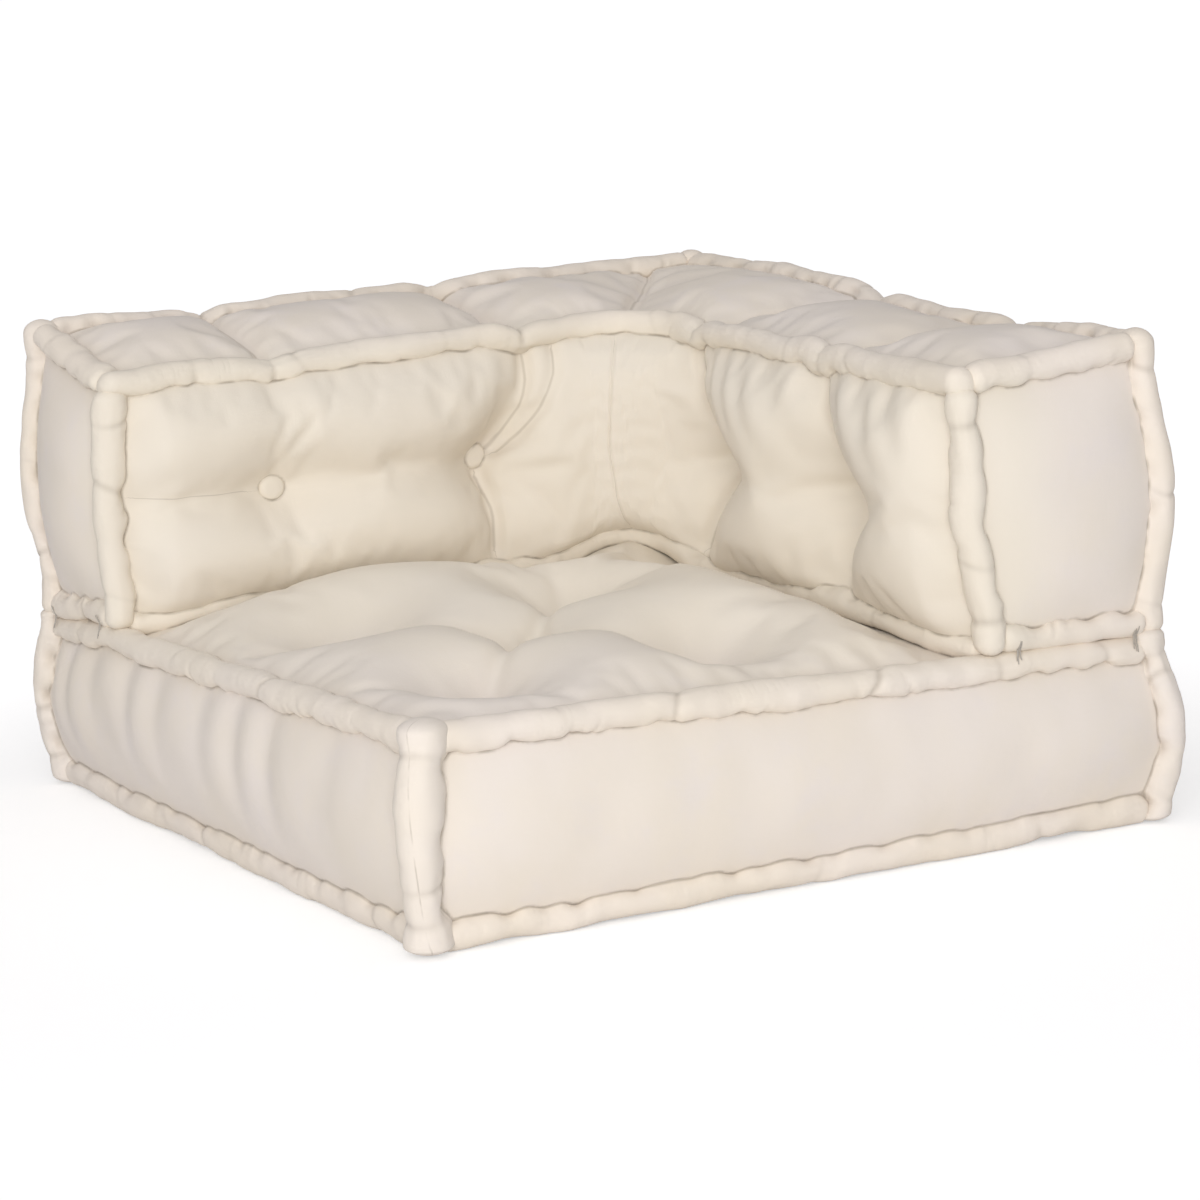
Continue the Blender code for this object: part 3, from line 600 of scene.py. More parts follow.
# lines where the cloth is folded in sharply, as (s, z) or, on top, (s, share of the width)
foldLines = {
    ("inner", "rear"): [[(0.388, 0.298), (0.401, 0.314), (0.414, 0.338), (0.420, 0.366), (0.421, 0.397)],
                        [(0.395, 0.297), (0.413, 0.314), (0.430, 0.339), (0.444, 0.371), (0.449, 0.395)],
                        [(0.380, 0.275), (0.384, 0.255), (0.385, 0.235), (0.384, 0.205)],
                        [(0.520, 0.395), (0.512, 0.35), (0.505, 0.30), (0.519, 0.25), (0.542, 0.21)],
                        [(0.02, 0.299), (0.07, 0.297), (0.13, 0.293)]],
    ("inner", "side"): [[(0.193, 0.300), (0.212, 0.396)],
                        [(0.434, 0.205), (0.410, 0.288), (0.444, 0.396)]],
    ("top", "rear"): [[(0.158, 0.10), (0.160, 0.9)], [(0.416, 0.08), (0.403, 0.92)],
                      [(0.55, 0.15), (0.657, 0.95)]],
    ("top", "side"): [[(0.210, 0.10), (0.172, 0.9)], [(0.441, 0.10), (0.393, 0.9)]]}
foldCount = max(len(lines) for lines in foldLines.values())
# the inner lines from faintFrom on are faint: the corner's seam and the crease beside the first button
foldShape = {"depth": {"inner": 0.0065, "top": 0.0050}, "width": 0.0060, "faintFrom": 3,
             "faintDepth": 0.0018, "faintness": 2.2}
# gathers under the back's top rolls: heights and seeds, how the side's slant to its free end, where they fade
backGathers = {"pitch": 0.044, "up": (0.30, 0.385), "edge": (0.002, 0.012), "start": (0.03, 0.06),
               "end": (0.43, 0.47), "rear": 0.0007, "rearSeed": 8, "side": 0.0052, "sideSeed": 5,
               "slant": 0.8, "slantFrom": 0.385, "outer": 0.0022, "outerSeed": 11,
               "outerUp": (0.28, 0.40), "outerEdge": (0.002, 0.014)}


def lineDistance(spot, line):
    # distance to a line, minus on its left
    nearest, side = 1.0, 1
    for (x0, y0), (x1, y1) in zip(line, line[1:]):
        dx, dy = x1 - x0, y1 - y0
        share = min(max(((spot[0] - x0) * dx + (spot[1] - y0) * dy) / (dx * dx + dy * dy), 0), 1)
        away = hypot(spot[0] - x0 - share * dx, spot[1] - y0 - share * dy)
        if away < nearest:
            nearest, side = away, 1 if (spot[0] - x0) * dy > (spot[1] - y0) * dx else -1
    return side * nearest


def foldSharply(cover):
    mesh = cover.data
    along, up, face = readLay(cover, "along", "up", "face")
    normals = [vertex.normal.copy() for vertex in mesh.vertices]
    gaps = [[shared["far"]] * len(mesh.vertices) for _ in range(foldCount)]
    for k, vertex in enumerate(mesh.vertices):
        side = {faces["inner"]: "inner", faces["top"]: "top"}.get(round(face[k]))
        if not side:
            continue
        for number, line in enumerate(foldLines[side, "rear" if along[k] > 0 else "side"]):
            if side == "top":
                line = [(s, share * back["span"]) for s, share in line]
            gaps[number][k] = lineDistance((abs(along[k]), up[k]), line)
            depth = foldShape["depth"][side]
            if side == "inner" and number >= foldShape["faintFrom"]:
                depth = foldShape["faintDepth"]
                gaps[number][k] *= foldShape["faintness"]
            vertex.co -= normals[k] * (depth * pull(gaps[number][k], foldShape["width"]))
    for number, row in enumerate(gaps):
        writeLay(cover, f"fold{number}", row)


def makeBackCover():
    stations, rows, across = back["stations"], back["rows"], back["across"]

    def split(u):
        # u from the rear arm's end, round the corner, to the side arm's end
        if u <= 0.5:
            return "rear", 2 * u, 1
        return "side", 2 - 2 * u, -1

    def inner(u, v):
        arm, t, way = split(u)
        (a, o), (na, no), s, _ = station(t)
        low, high = innerLow((a, o)), innerHigh(arm, s)
        z = mix(low, high, v)
        out = innerOut(arm, s, z, low, high)
        edge = min(s, z - low, high - z)
        pin = max(edgePin(edge), buttonPin(arm, s, z))
        pin = max(pin, valleyPin(s, valleys(arm, z, low, high), armFacts[arm]["valleyPin"]))
        pin = max(pin, back["bendPin"] * ramp(s, *[bend + reach for reach in back["bendHold"]]))
        return arms[arm](a + na * out, o + no * out, z), pin, way * s, z, edge

    def outer(u, v):
        arm, t, way = split(u)
        a = station(t)[3]
        high = outerHigh(arm, a)
        z = mix(high, back["low"], v)
        edge = min(a, armLength - a, z - back["low"], high - z)
        pin = max(edgePin(edge), buttonPin(arm, a, z))
        pin = max(pin, valleyPin(a, armFacts[arm]["buttons"], back["outerPin"]))
        return arms[arm](a, -outerOut(arm, a, z), z), pin, way * a, z, edge

    def top(u, v):
        arm, t, way = split(u)
        (a, o), _, s, b = station(t)
        place = mix(s, b, v)
        height, toCrease = topPillows(arm, place, v)
        crown = back["topCrown"] * dome(2 * v - 1) * height * ramp(b, 0, back["topRise"])
        z = mix(innerHigh(arm, s), outerHigh(arm, b), v) + crown
        edge = min(v * back["span"], (1 - v) * back["span"], b)
        pin = max(edgePin(edge), valleyPin(place, topPlaces(arm, v), back["topPin"]),
                  valleyPin(toCrease, (0,), back["creasePin"]))
        return arms[arm](mix(a, b, v), mix(o, 0, v), z), pin, way * place, v * back["span"], edge

    def under(u, v):
        arm, t, way = split(u)
        inn, (na, no), s, b = station(t)
        share = 1 - v
        place = arms[arm](mix(inn[0] + na * foot(s), b, share), mix(inn[1] + no * foot(s), 0, share), 0)
        z = seatLevel(place.x, place.y) + back["overSeat"]
        rolled = [1 - ramp(gap, 0, back["underReach"]) for gap in (share * back["span"], v * back["span"], b)]
        z = mix(z, max(innerLow(inn), z), rolled[0])
        place.z = mix(z, max(back["low"], z), max(rolled[1:]))
        return place, 1, way * mix(s, b, share), v * back["span"], shared["far"]

    def endPlace(arm, way):
        def place(u, v):
            o = mix(back["span"], 0, u)
            low = mix(innerLow((0, back["span"])), back["low"], u)
            high = mix(back["innerTop"], back["outerTop"], u)
            z = mix(low, high, v)
            out = back["endCrown"] * dome(2 * u - 1, back["endPower"]) * dome(2 * v - 1, back["endPower"])
            edge = min(o, back["span"] - o, z - low, high - z)
            return arms[arm](-out, o, z), edgePin(edge), way * o, z, edge
        return place

    def fold(face, along, up, edge):
        facts, s = backGathers, abs(along)
        if face == faces["inner"]:
            high = ramp(up, *facts["up"]) * ramp(edge, *facts["edge"])
            reach = ramp(s, *facts["start"]) * (1 - ramp(s, *facts["end"]))
            if along > 0:
                return facts["rear"] * high * reach * gathers(s, facts["pitch"], facts["rearSeed"])
            place = s - facts["slant"] * (up - facts["slantFrom"])
            return facts["side"] * high * reach * gathers(place, facts["pitch"], facts["sideSeed"])
        if face == faces["outer"]:
            high = facts["outer"] * ramp(up, *facts["outerUp"]) * ramp(edge, *facts["outerEdge"])
            return high * gathers(s, facts["pitch"], facts["outerSeed"])
        return 0

    patches = [clothGrid("backInner", stations, rows, faces["inner"], inner),
               clothGrid("backTop", stations, across, faces["top"], top),
               clothGrid("backOuter", stations, rows, faces["outer"], outer),
               clothGrid("backUnder", stations, across, faces["under"], under),
               clothGrid("rearEnd", across, rows, faces["rearEnd"], endPlace("rear", 1)),
               clothGrid("sideEnd", across, rows, faces["sideEnd"], endPlace("side", -1))]
    cover = sewTogether("backCover", patches)
    puffUp(cover, back["pressure"], back["slack"], back["cap"])
    calm(cover, (faces["rearEnd"], faces["sideEnd"]), back["calmEnds"])
    calm(cover, (faces["inner"],), back["calmInner"])
    addFolds(cover, fold)
    settlePiece(cover)
    finishCloth(cover)
    foldSharply(cover)
    return cover


seatCover = makeSeatCover()
backCover = makeBackCover()
print("covers done")


# a ball primitive drawn out along a route; shape gives the point and the crease, how much painted shade it
# takes, for a ring and an angle
def drawOut(name, rings, sides, length, girth, shape):
    deselectAll()
    bpy.ops.mesh.primitive_uv_sphere_add(segments=sides, ring_count=rings, radius=1, calc_uvs=True)
    piece = bpy.context.object
    piece.name = name
    mesh = piece.data
    creases = []
    for vertex in mesh.vertices:
        ring = round(acos(min(max(-vertex.co.z, -1), 1)) / pi * rings)
        point, crease = shape(ring, atan2(vertex.co.y, vertex.co.x))
        vertex.co = point
        creases.append(crease)
    writeLay(piece, "crease", creases)
    for entry in mesh.uv_layers.active.data:
        entry.uv = (entry.uv.y * length, entry.uv.x * girth)
    pick(piece)
    faceOutward()
    bpy.ops.object.shade_smooth()
    return piece


class Route:
    # a line of (point, direction, direction) rows that can be read at any distance
    def __init__(self, rows):
        self.rows = [[Vector(item) for item in row] for row in rows]
        self.marks = [0.0]
        for before, after in zip(self.rows, self.rows[1:]):
            self.marks.append(self.marks[-1] + (after[0] - before[0]).length)
        self.length = self.marks[-1]

    def at(self, distance):
        distance = min(max(distance, 0), self.length)
        k = 0
        while k < len(self.marks) - 2 and distance > self.marks[k + 1]:
            k += 1
        share = (distance - self.marks[k]) / (self.marks[k + 1] - self.marks[k])
        return [low.lerp(high, share) for low, high in zip(self.rows[k], self.rows[k + 1])]

    def tangent(self, distance, reach=0.006):
        low, high = max(distance - reach, 0), min(distance + reach, self.length)
        return (self.at(high)[0] - self.at(low)[0]).normalized()


# stuffed rolls: each is stitched to two panels, with tucks along the seams and a pinch here and there
roll = {"step": 0.0021, "fewestRings": 20, "sides": 36, "capRings": 7, "capShare": 0.8, "floorGap": 0.0003,
        "swell": 0.10, "swellSize": 0.060, "squash": 0.07, "squashTurn": 2.5, "squashSize": 0.11,
        "lump": 0.0012, "lumpSize": 0.021, "wander": 0.0022, "wanderSize": 0.070, "seeds": (0, 100),
        "pinchStart": (0.03, 0.15), "pinchEnd": 0.03, "pinchGap": (0.08, 0.24), "pinchApart": 0.015,
        "pinchReach": 0.045, "pinchDepth": (0.06, 0.20), "pinchShare": 0.55, "fullPinch": 0.2,
        "allRound": 0.62, "facing": 0.38, "lineWidth": (0.0024, 0.0036), "neckWidth": (0.008, 0.018),
        "slant": 0.012, "drawnSlant": 0.004, "knobSlant": 0.006,
        "ripple": 0.030, "rippleSpread": 0.015, "ripples": (6, 10), "rippleTurn": 9,
        "tuckStart": (0.01, 0.04), "tuckGap": (0.014, 0.075), "tuckDepth": (0.04, 0.30), "tuckPower": 2,
        "tuckWidth": (0.0026, 0.0070), "tuckReach": (0.5, 1.3), "tuckSlant": 0.006, "tuckNear": 0.025,
        "tuckPuff": 0.25, "puffWidth": 3, "tuckNotch": 0.75, "tuckPaintedShade": 2,
        "stitchStart": (0.01, 0.02), "stitchGap": (0.022, 0.060), "stitchDepth": (0.08, 0.44),
        "stitchPower": 1.3, "stitchWidth": 0.0100, "stitchNear": 0.02, "stitchPaintedShade": 1.5,
        "seamTurn": 0.42, "seamSpread": 0.70, "seamDepth": 0.04,
        "knobReach": 0.031, "knobDepth": 0.15, "knobSwell": 0.05, "knobPlace": 0.016, "knobSpread": 0.014,
        "postCap": 0.45, "postStitch": 1.5, "postFoot": 0.15, "footPlace": 0.012, "footSpread": 0.016}


def angleGap(first, second):
    return (first - second + pi) % tau - pi


def marksAlong(dice, length, start, gap, draw):
    marks, place = [], dice.uniform(*start)
    while place < length:
        marks.append((place, *draw()))
        place += dice.uniform(*gap)
    return marks


def nearby(marks, distance, reach):
    return [mark for mark in marks if abs(mark[0] - distance) < reach]


# knobs are full ends beside a pinch, drawn the places where twine pulls in; tucked scales the tucks
def makeRoll(node, rows, girth=1.0, knobs=False, drawn=(), post=False, tucked=1.0):
    route = Route(rows)
    radius = rollRadius * girth
    dice = random.Random(node)
    seed = dice.uniform(*roll["seeds"])

    def pinch(place, depth, slant):
        return (place, depth, dice.uniform(*roll["lineWidth"]), dice.uniform(*roll["neckWidth"]),
                dice.uniform(-pi, pi), slant * dice.uniform(-1, 1), dice.randint(*roll["ripples"]))

    pinches = [pinch(place, depth, roll["drawnSlant"]) for place, depth in drawn]
    if knobs:
        pinches += [pinch(place, roll["knobDepth"], roll["knobSlant"])
                    for place in (roll["knobReach"], route.length - roll["knobReach"])]
    place = dice.uniform(*roll["pinchStart"])
    while place < route.length - roll["pinchEnd"]:
        if all(abs(place - other[0]) > roll["pinchApart"] for other in pinches):
            pinches.append(pinch(place, dice.uniform(*roll["pinchDepth"]), roll["slant"]))
        place += dice.uniform(*roll["pinchGap"])

    def stitch():
        depth = mix(*roll["stitchDepth"], dice.random() ** roll["stitchPower"])
        return (depth * roll["postStitch"] if post else depth,)

    def smallTuck():
        depth = tucked * mix(*roll["tuckDepth"], dice.random() ** roll["tuckPower"])
        return (depth, dice.uniform(*roll["tuckWidth"]), dice.uniform(*roll["tuckReach"]),
                roll["tuckSlant"] * dice.uniform(-1, 1))

    stitches, tucks = [], []
    for _ in range(2):
        stitches.append(marksAlong(dice, route.length, roll["stitchStart"], roll["stitchGap"], stitch))
        tucks.append(marksAlong(dice, route.length, roll["tuckStart"], roll["tuckGap"], smallTuck))

    rings = max(roll["fewestRings"], round(route.length / roll["step"]))
    caps = roll["capRings"]
    capLength = radius * roll["postCap" if post else "capShare"]
    ringFacts = []
    for ring in range(rings + 1):
        fromEnd = min(ring, rings - ring)
        if fromEnd <= caps:
            swing = pi / 2 * fromEnd / caps
            distance, closing = capLength * (1 - cos(swing)), sin(swing)
            if ring > caps:
                distance = route.length - distance
        else:
            distance = mix(capLength, route.length - capLength, (ring - caps) / (rings - 2 * caps))
            closing = 1
        point, first, second = route.at(distance)
        way = route.tangent(distance)
        first = (first - way * first.dot(way)).normalized()
        other = way.cross(first)
        turn = atan2(second.dot(other), second.dot(first))
        side = 1 if turn > 0 else -1
        seams = (-side * roll["seamTurn"], turn + side * roll["seamTurn"])
        point += first * roll["wander"] * wander(distance, roll["wanderSize"], seed + 1)
        point += other * roll["wander"] * wander(distance, roll["wanderSize"], seed + 2)
        swell = 1 + roll["swell"] * wander(distance, roll["swellSize"], seed)
        if knobs:
            ends = min(distance, route.length - distance)
            swell += roll["knobSwell"] * pull(ends - roll["knobPlace"], roll["knobSpread"])
        if post:
            # the foot of a post spreads under the load
            swell += roll["postFoot"] * pull(distance - roll["footPlace"], roll["footSpread"])
        flat = roll["squashTurn"] * wander(distance, roll["squashSize"], seed + 3)
        nearStitches = [nearby(marks, distance, roll["stitchNear"]) for marks in stitches]
        nearTucks = [nearby(marks, distance, roll["tuckNear"]) for marks in tucks]
        ringFacts.append((point, first, other, distance, closing, swell, flat, seams,
                          nearby(pinches, distance, roll["pinchReach"]), nearStitches, nearTucks))

    def shape(ring, angle):
        (point, first, other, distance, closing, swell, flat, seams, nearPinches, nearStitches,
         nearTucks) = ringFacts[ring]
        # crease: how much painted shade a point takes in the pinches, stitch dimples and tucks
        crease = 0
        size = swell + roll["squash"] * cos(2 * (angle - flat))
        for at, depth, line, neck, facing, slant, ripples in nearPinches:
            gap = distance - at - slant * sin(angle - facing)
            weight = roll["allRound"] + roll["facing"] * cos(angle - facing)
            strength = min(depth / roll["fullPinch"], 1)
            notch = pull(gap, line) * weight
            size -= depth * (roll["pinchShare"] * notch + roll["pinchShare"] * weight * pull(gap, neck))
            waves = sin(ripples * angle + roll["rippleTurn"] * facing)
            size += roll["ripple"] * strength * pull(gap, roll["rippleSpread"]) * waves
            crease = max(crease, notch * strength)
        for seamAngle, marks in zip(seams, nearStitches):
            beside = pull(angleGap(angle, seamAngle), roll["seamSpread"])
            size -= roll["seamDepth"] * beside
            for mark, depth in marks:
                dimple = pull(distance - mark, roll["stitchWidth"]) * beside
                size -= depth * dimple
                crease = max(crease, roll["stitchPaintedShade"] * depth * dimple * dimple)
        for seamAngle, marks in zip(seams, nearTucks):
            # small tucks that run from a seam over the roll and fade, with the cloth puffed up between them
            turned = angleGap(angle, seamAngle)
            for mark, depth, width, reach, slant in marks:
                gap = distance - mark - slant * turned
                fading = pull(turned, reach)
                notch = pull(gap, width) * fading
                puffed = roll["tuckPuff"] * fading * pull(gap, roll["puffWidth"] * width)
                size += depth * (puffed - roll["tuckNotch"] * notch)
                crease = max(crease, roll["tuckPaintedShade"] * depth * notch * notch)
        reach = radius * size * closing
        outward = first * cos(angle) + other * sin(angle)
        spot = point + outward * reach
        spot = settled(spot + outward * (roll["lump"] * noise.noise(spot / roll["lumpSize"])))
        spot.z = max(spot.z, roll["floorGap"])
        return spot, crease

    piece = drawOut(camel(node), rings, roll["sides"], route.length, tau * radius, shape)
    return standIn(piece, node)


def camel(node):
    words = node.split("_")
    return words[0] + "".join(word.capitalize() for word in words[1:])


tuck = 0.004  # how far a roll's end starts from the middle of the post that it is sewn to
upward = Vector((0, 0, 1))
# girths of the posts, how strong the tucks of the bottom rolls are, and the steps up a post
seatRolls = {"girth": 1.15, "frontGirth": 1.38, "lowTucks": 0.4,
             "postLow": 0.0005, "postStep": 0.0115, "steps": 17}


def makeSeatRolls():
    made = []
    levels = [seatRolls["postLow"] + k * seatRolls["postStep"] for k in range(seatRolls["steps"])]
    sides = (("front", 0, "front_left"), ("right", 90, "front_right"), ("rear", 180, "rear_right"),
             ("left", 270, "rear_left"))
    for side, angle, corner in sides:
        turn = Matrix.Rotation(radians(angle), 3, "Z")
        ahead, across = turn @ Vector((0, 1, 0)), turn @ Vector((1, 0, 0))
        for level, toward, panel, tucked in (("top", ahead, -upward, 1.0),
                                             ("bottom", upward, ahead, seatRolls["lowTucks"])):
            z = seat["top" if level == "top" else "low"]
            rows = [(turn @ Vector((x, -half, z)), toward, panel) for x in (tuck - half, half - tuck)]
            made.append(makeRoll(f"seat_{level}_roll_{side}", rows, tucked=tucked))
        post = [(turn @ Vector((-half - bow(z), -half - bow(z), z)), across, ahead) for z in levels]
        girth = seatRolls["frontGirth" if corner == "front_left" else "girth"]
        made.append(makeRoll(f"seat_corner_roll_{corner}", post, girth=girth, knobs=True, post=True))
    return made


# steps along the rolls, girths, how hard twine draws in the top rolls, and where the uprights end
backRolls = {"steps": 60, "uprightSteps": 20, "turnSteps": 90, "firstStation": 0.006, "uprightGirth": 1.06,
             "lowGirth": 0.88, "outerDrawn": 0.24, "rearDrawn": 0.30, "sideDrawn": 0.32,
             "overTop": 0.016, "underRoll": 0.002}


def uprightLevels(high):
    steps = backRolls["uprightSteps"]
    return [mix(seat["height"] - back["bedded"], high, k / steps) for k in range(steps + 1)]


def makeBackRolls():
    made = []
    upright = {"girth": backRolls["uprightGirth"], "knobs": True}
    tip, low = back["outerTop"] + backRolls["overTop"], back["low"] - back["endDrop"]
    start, end = tuck, armLength - tuck
    near, far = tuck, back["span"] - tuck
    steps = [mix(start, end, k / backRolls["steps"]) for k in range(backRolls["steps"] + 1)]
    for name, arm in arms.items():
        origin = arm(0, 0, 0)
        along, inward = arm(1, 0, 0) - origin, arm(0, 1, 0) - origin
        drawn = [(place - tuck, backRolls["outerDrawn"]) for place in armFacts[name]["outerDips"]]
        rows = [(arm(a, 0, outerHigh(name, a)), inward, -upward) for a in steps]
        made.append(makeRoll(f"{name}_top_roll_outer", rows, drawn=drawn))
        rows = [(arm(a, 0, low), upward, inward) for a in (start, end)]
        made.append(makeRoll(f"{name}_bottom_roll_outer", rows))
        rows = [(arm(0, near, back["outerTop"]), along, -upward),
                (arm(0, far, back["innerTop"]), along, -upward)]
        made.append(makeRoll(f"{name}_top_roll_end", rows))
        rows = [(arm(0, o, low), upward, along) for o in (near, far)]
        made.append(makeRoll(f"{name}_bottom_roll_end", rows))
        # the inner uprights end under the inner top roll, whose ends lie over them
        under = back["innerTop"] - backRolls["underRoll"]
        for side, o, toward, high in (("outer", 0, inward, tip), ("inner", back["span"], -inward, under)):
            rows = [(arm(0, o, z), along, toward) for z in uprightLevels(high)]
            made.append(makeRoll(f"{name}_upright_roll_{side}", rows, **upright))
    rows = [(rearArm(armLength, 0, z), (-1, 0, 0), (0, -1, 0)) for z in uprightLevels(tip)]
    made.append(makeRoll("back_corner_roll", rows, **upright))

    count = backRolls["turnSteps"]
    top, bottom = [], []
    for name, arm in arms.items():
        origin = arm(0, 0, 0)
        inward = arm(0, 1, 0) - origin
        rowsTop = [(arm(-back["overEnd"], back["span"], back["innerTop"]), -inward, -upward)]
        rowsBottom = []
        for k in range(count + 1):
            inner, (na, no), s, _ = station(max(k / count, backRolls["firstStation"]))
            outward = origin - arm(na, no, 0)
            rowsTop.append((arm(*inner, innerHigh(name, s)), outward, -upward))
            a, o = inner[0] + na * foot(s), inner[1] + no * foot(s)
            rowsBottom.append((arm(a, o, innerLow(inner)), upward, outward))
        top.append(rowsTop)
        bottom.append(rowsBottom)
    whole = [rear + side[-2::-1] for rear, side in (top, bottom)]
    length = Route(whole[0]).length
    drawn = [(back["overEnd"] + place, backRolls["rearDrawn"]) for place in topValleys("rear")]
    drawn += [(length - back["overEnd"] - place, backRolls["sideDrawn"]) for place in topValleys("side")]
    made.append(makeRoll("back_top_roll_inner", whole[0], drawn=drawn))
    made.append(makeRoll("back_bottom_roll_inner", whole[1], girth=backRolls["lowGirth"]))
    return made


rolls = makeSeatRolls() + makeBackRolls()
print("rolls done:", len(rolls))


# covered buttons, with a crimped edge; proud is how far they stand out of the cover
button = {"radius": 0.0128, "dome": 0.0058, "under": 0.0045, "roundness": 0.62, "lift": 0.0008,
          "proud": 0.003, "folds": 13, "foldDepth": 0.045, "foldTurn": 2, "crimped": (-0.35, 0.3),
          "soil": 0.7, "rings": 22, "sides": 52, "clothLength": 0.03, "clothGirth": 0.08}


def makeButton(node, middle, outward):
    turn = outward.to_track_quat("Z", "Y").to_matrix()

    def shape(ring, angle):
        swing = pi * ring / button["rings"]
        wide, high = sin(swing), -cos(swing)
        crimp = 0.5 - 0.5 * sin(button["folds"] * angle + button["foldTurn"] * sin(angle))
        crimp *= ramp(-high, *button["crimped"]) * wide
        reach = button["radius"] * wide ** button["roundness"] * (1 - button["foldDepth"] * crimp)
        lift = button["dome"] * high if high > 0 else button["under"] * high
        spot = Vector((cos(angle) * reach, sin(angle) * reach, lift + button["lift"]))
        # the crimps of the edge take painted shade
        return settled(middle + turn @ spot), button["soil"] * crimp

    piece = drawOut(camel(node), button["rings"], button["sides"], button["clothLength"],
                    button["clothGirth"], shape)
    return standIn(piece, node)


def makeButtons():
    made = []
    for name, arm in arms.items():
        level = armFacts[name]["level"]
        inward = arm(0, 1, 0) - arm(0, 0, 0)
        for number, b in enumerate(armFacts[name]["buttons"], 1):
            low, high = innerLow((b, back["span"])), innerHigh(name, b)
            inner = back["span"] + innerOut(name, b, level, low, high) + button["proud"]
            outer = -outerOut(name, b, level) - button["proud"]
            made.append(makeButton(f"{name}_button_{number}", arm(b, inner, level), inward))
            made.append(makeButton(f"{name}_outer_button_{number}", arm(b, outer, level), -inward))
    return made


buttons = makeButtons()
print("buttons done:", len(buttons))


# twine and thread
twine = {"radius": 0.0013, "sides": 8, "knot": 0.0017, "knotSteps": 46, "knotRise": 0.9, "knotSwing": 0.8,
         "lift": 0.0012, "light": (0.80, 0.74, 0.65), "dark": (0.62, 0.56, 0.47), "twist": 0.0018}
thread = {"radius": 0.00040, "sides": 6, "inset": 0.021, "strands": 5, "steps": 10, "spread": 0.0036,
          "sweep": (2, 26), "bridge": 38, "clear": 1.05,
          "light": (0.60, 0.56, 0.50), "dark": (0.42, 0.38, 0.33), "twist": 0.0012}


def makeThread(node, points, radius, sides):
    route = Route([(point,) for point in points])
    rings = 2 * len(points)
    reach = 0.0008

    def shape(ring, angle):
        distance = route.length * min(max((ring - 1) / (rings - 2), 0), 1)
        way = route.tangent(distance, reach)
        first = way.orthogonal().normalized()
        thick = radius if 0 < ring < rings else 0
        spot = route.at(distance)[0] + (first * cos(angle) + way.cross(first) * sin(angle)) * thick
        return settled(spot), 0

    piece = drawOut(camel(node), rings, sides, route.length, tau * radius, shape)
    return standIn(piece, node)


def knot(middle):
    # a trefoil
    points = []
    for k in range(twine["knotSteps"] + 1):
        t = tau * k / twine["knotSteps"] + pi / 6
        rise = twine["knotRise"] - twine["knotSwing"] * sin(3 * t)
        turn = Vector((sin(t) + 2 * sin(2 * t), cos(t) - 2 * cos(2 * t), rise))
        points.append(middle + turn * twine["knot"])
    return points


def makeTies():
    made = []
    for number, (u, v) in enumerate(tufts, 1):
        high, low = (Vector((u, v, level + twine["lift"])) for level in (seatLevel(u, v), 0))
        points = knot(low)[::-1] + [low + (high - low) * 0.5] + knot(high)
        made.append(makeThread(f"seat_tuft_tie_{number}", points, twine["radius"], twine["sides"]))
    return made


def makeTacks():
    made = []
    reach = thread["clear"] * rollRadius + thread["radius"]
    steps = thread["steps"]
    for name, arm in arms.items():
        for side, middle in (("inner", back["span"] - thread["inset"]), ("outer", thread["inset"])):
            node = f"{name}_tack_{side}"
            dice = random.Random(node)
            points, o = [], middle
            for strand in range(thread["strands"]):
                # the thread crosses from roll to roll and back, a little elsewhere each time
                start, o = o, middle + thread["spread"] * dice.uniform(-1, 1)
                high, low = -dice.uniform(*thread["sweep"]), dice.uniform(*thread["sweep"])
                for k in range(steps + 1):
                    down = k / steps if strand % 2 == 0 else 1 - k / steps
                    level, angle = back["low"] - back["endDrop"], mix(high, -thread["bridge"], 2 * down)
                    if down > 0.5:
                        level, angle = seat["top"], mix(thread["bridge"], low, 2 * down - 1)
                    swing = radians(angle)
                    points.append(arm(-reach * cos(swing), mix(start, o, k / steps),
                                      level + reach * sin(swing)))
            made.append(makeThread(node, points, thread["radius"], thread["sides"]))
    return made


ties = makeTies()
tacks = makeTacks()
print("ties and tacks done:", len(ties), len(tacks))


# how near each point lies to the next piece, for the painted shade along the seams

def surfaceTree(pieces):
    points, polygons = [], []
    for piece in pieces:
        base = len(points)
        points += [vertex.co.copy() for vertex in piece.data.vertices]
        polygons += [[base + k for k in polygon.vertices] for polygon in piece.data.polygons]
    return BVHTree.FromPolygons(points, polygons)


def markGaps(piece, trees, reach=0.02):
    gaps = []
    for vertex in piece.data.vertices:
        gap = reach
        for tree in trees:
            spot, normal, _, distance = tree.find_nearest(vertex.co, reach)
            if spot is not None:
                gap = min(gap, distance if (vertex.co - spot).dot(normal) > 0 else 0)
        gaps.append(gap)
    writeLay(piece, "gap", gaps)


seatTree, backTree = surfaceTree([seatCover]), surfaceTree([backCover])
rollTree = surfaceTree(rolls + buttons)
markGaps(seatCover, [backTree, rollTree])
markGaps(backCover, [seatTree, rollTree])
for piece in rolls + buttons:
    markGaps(piece, [seatTree, backTree])
print("gaps marked")


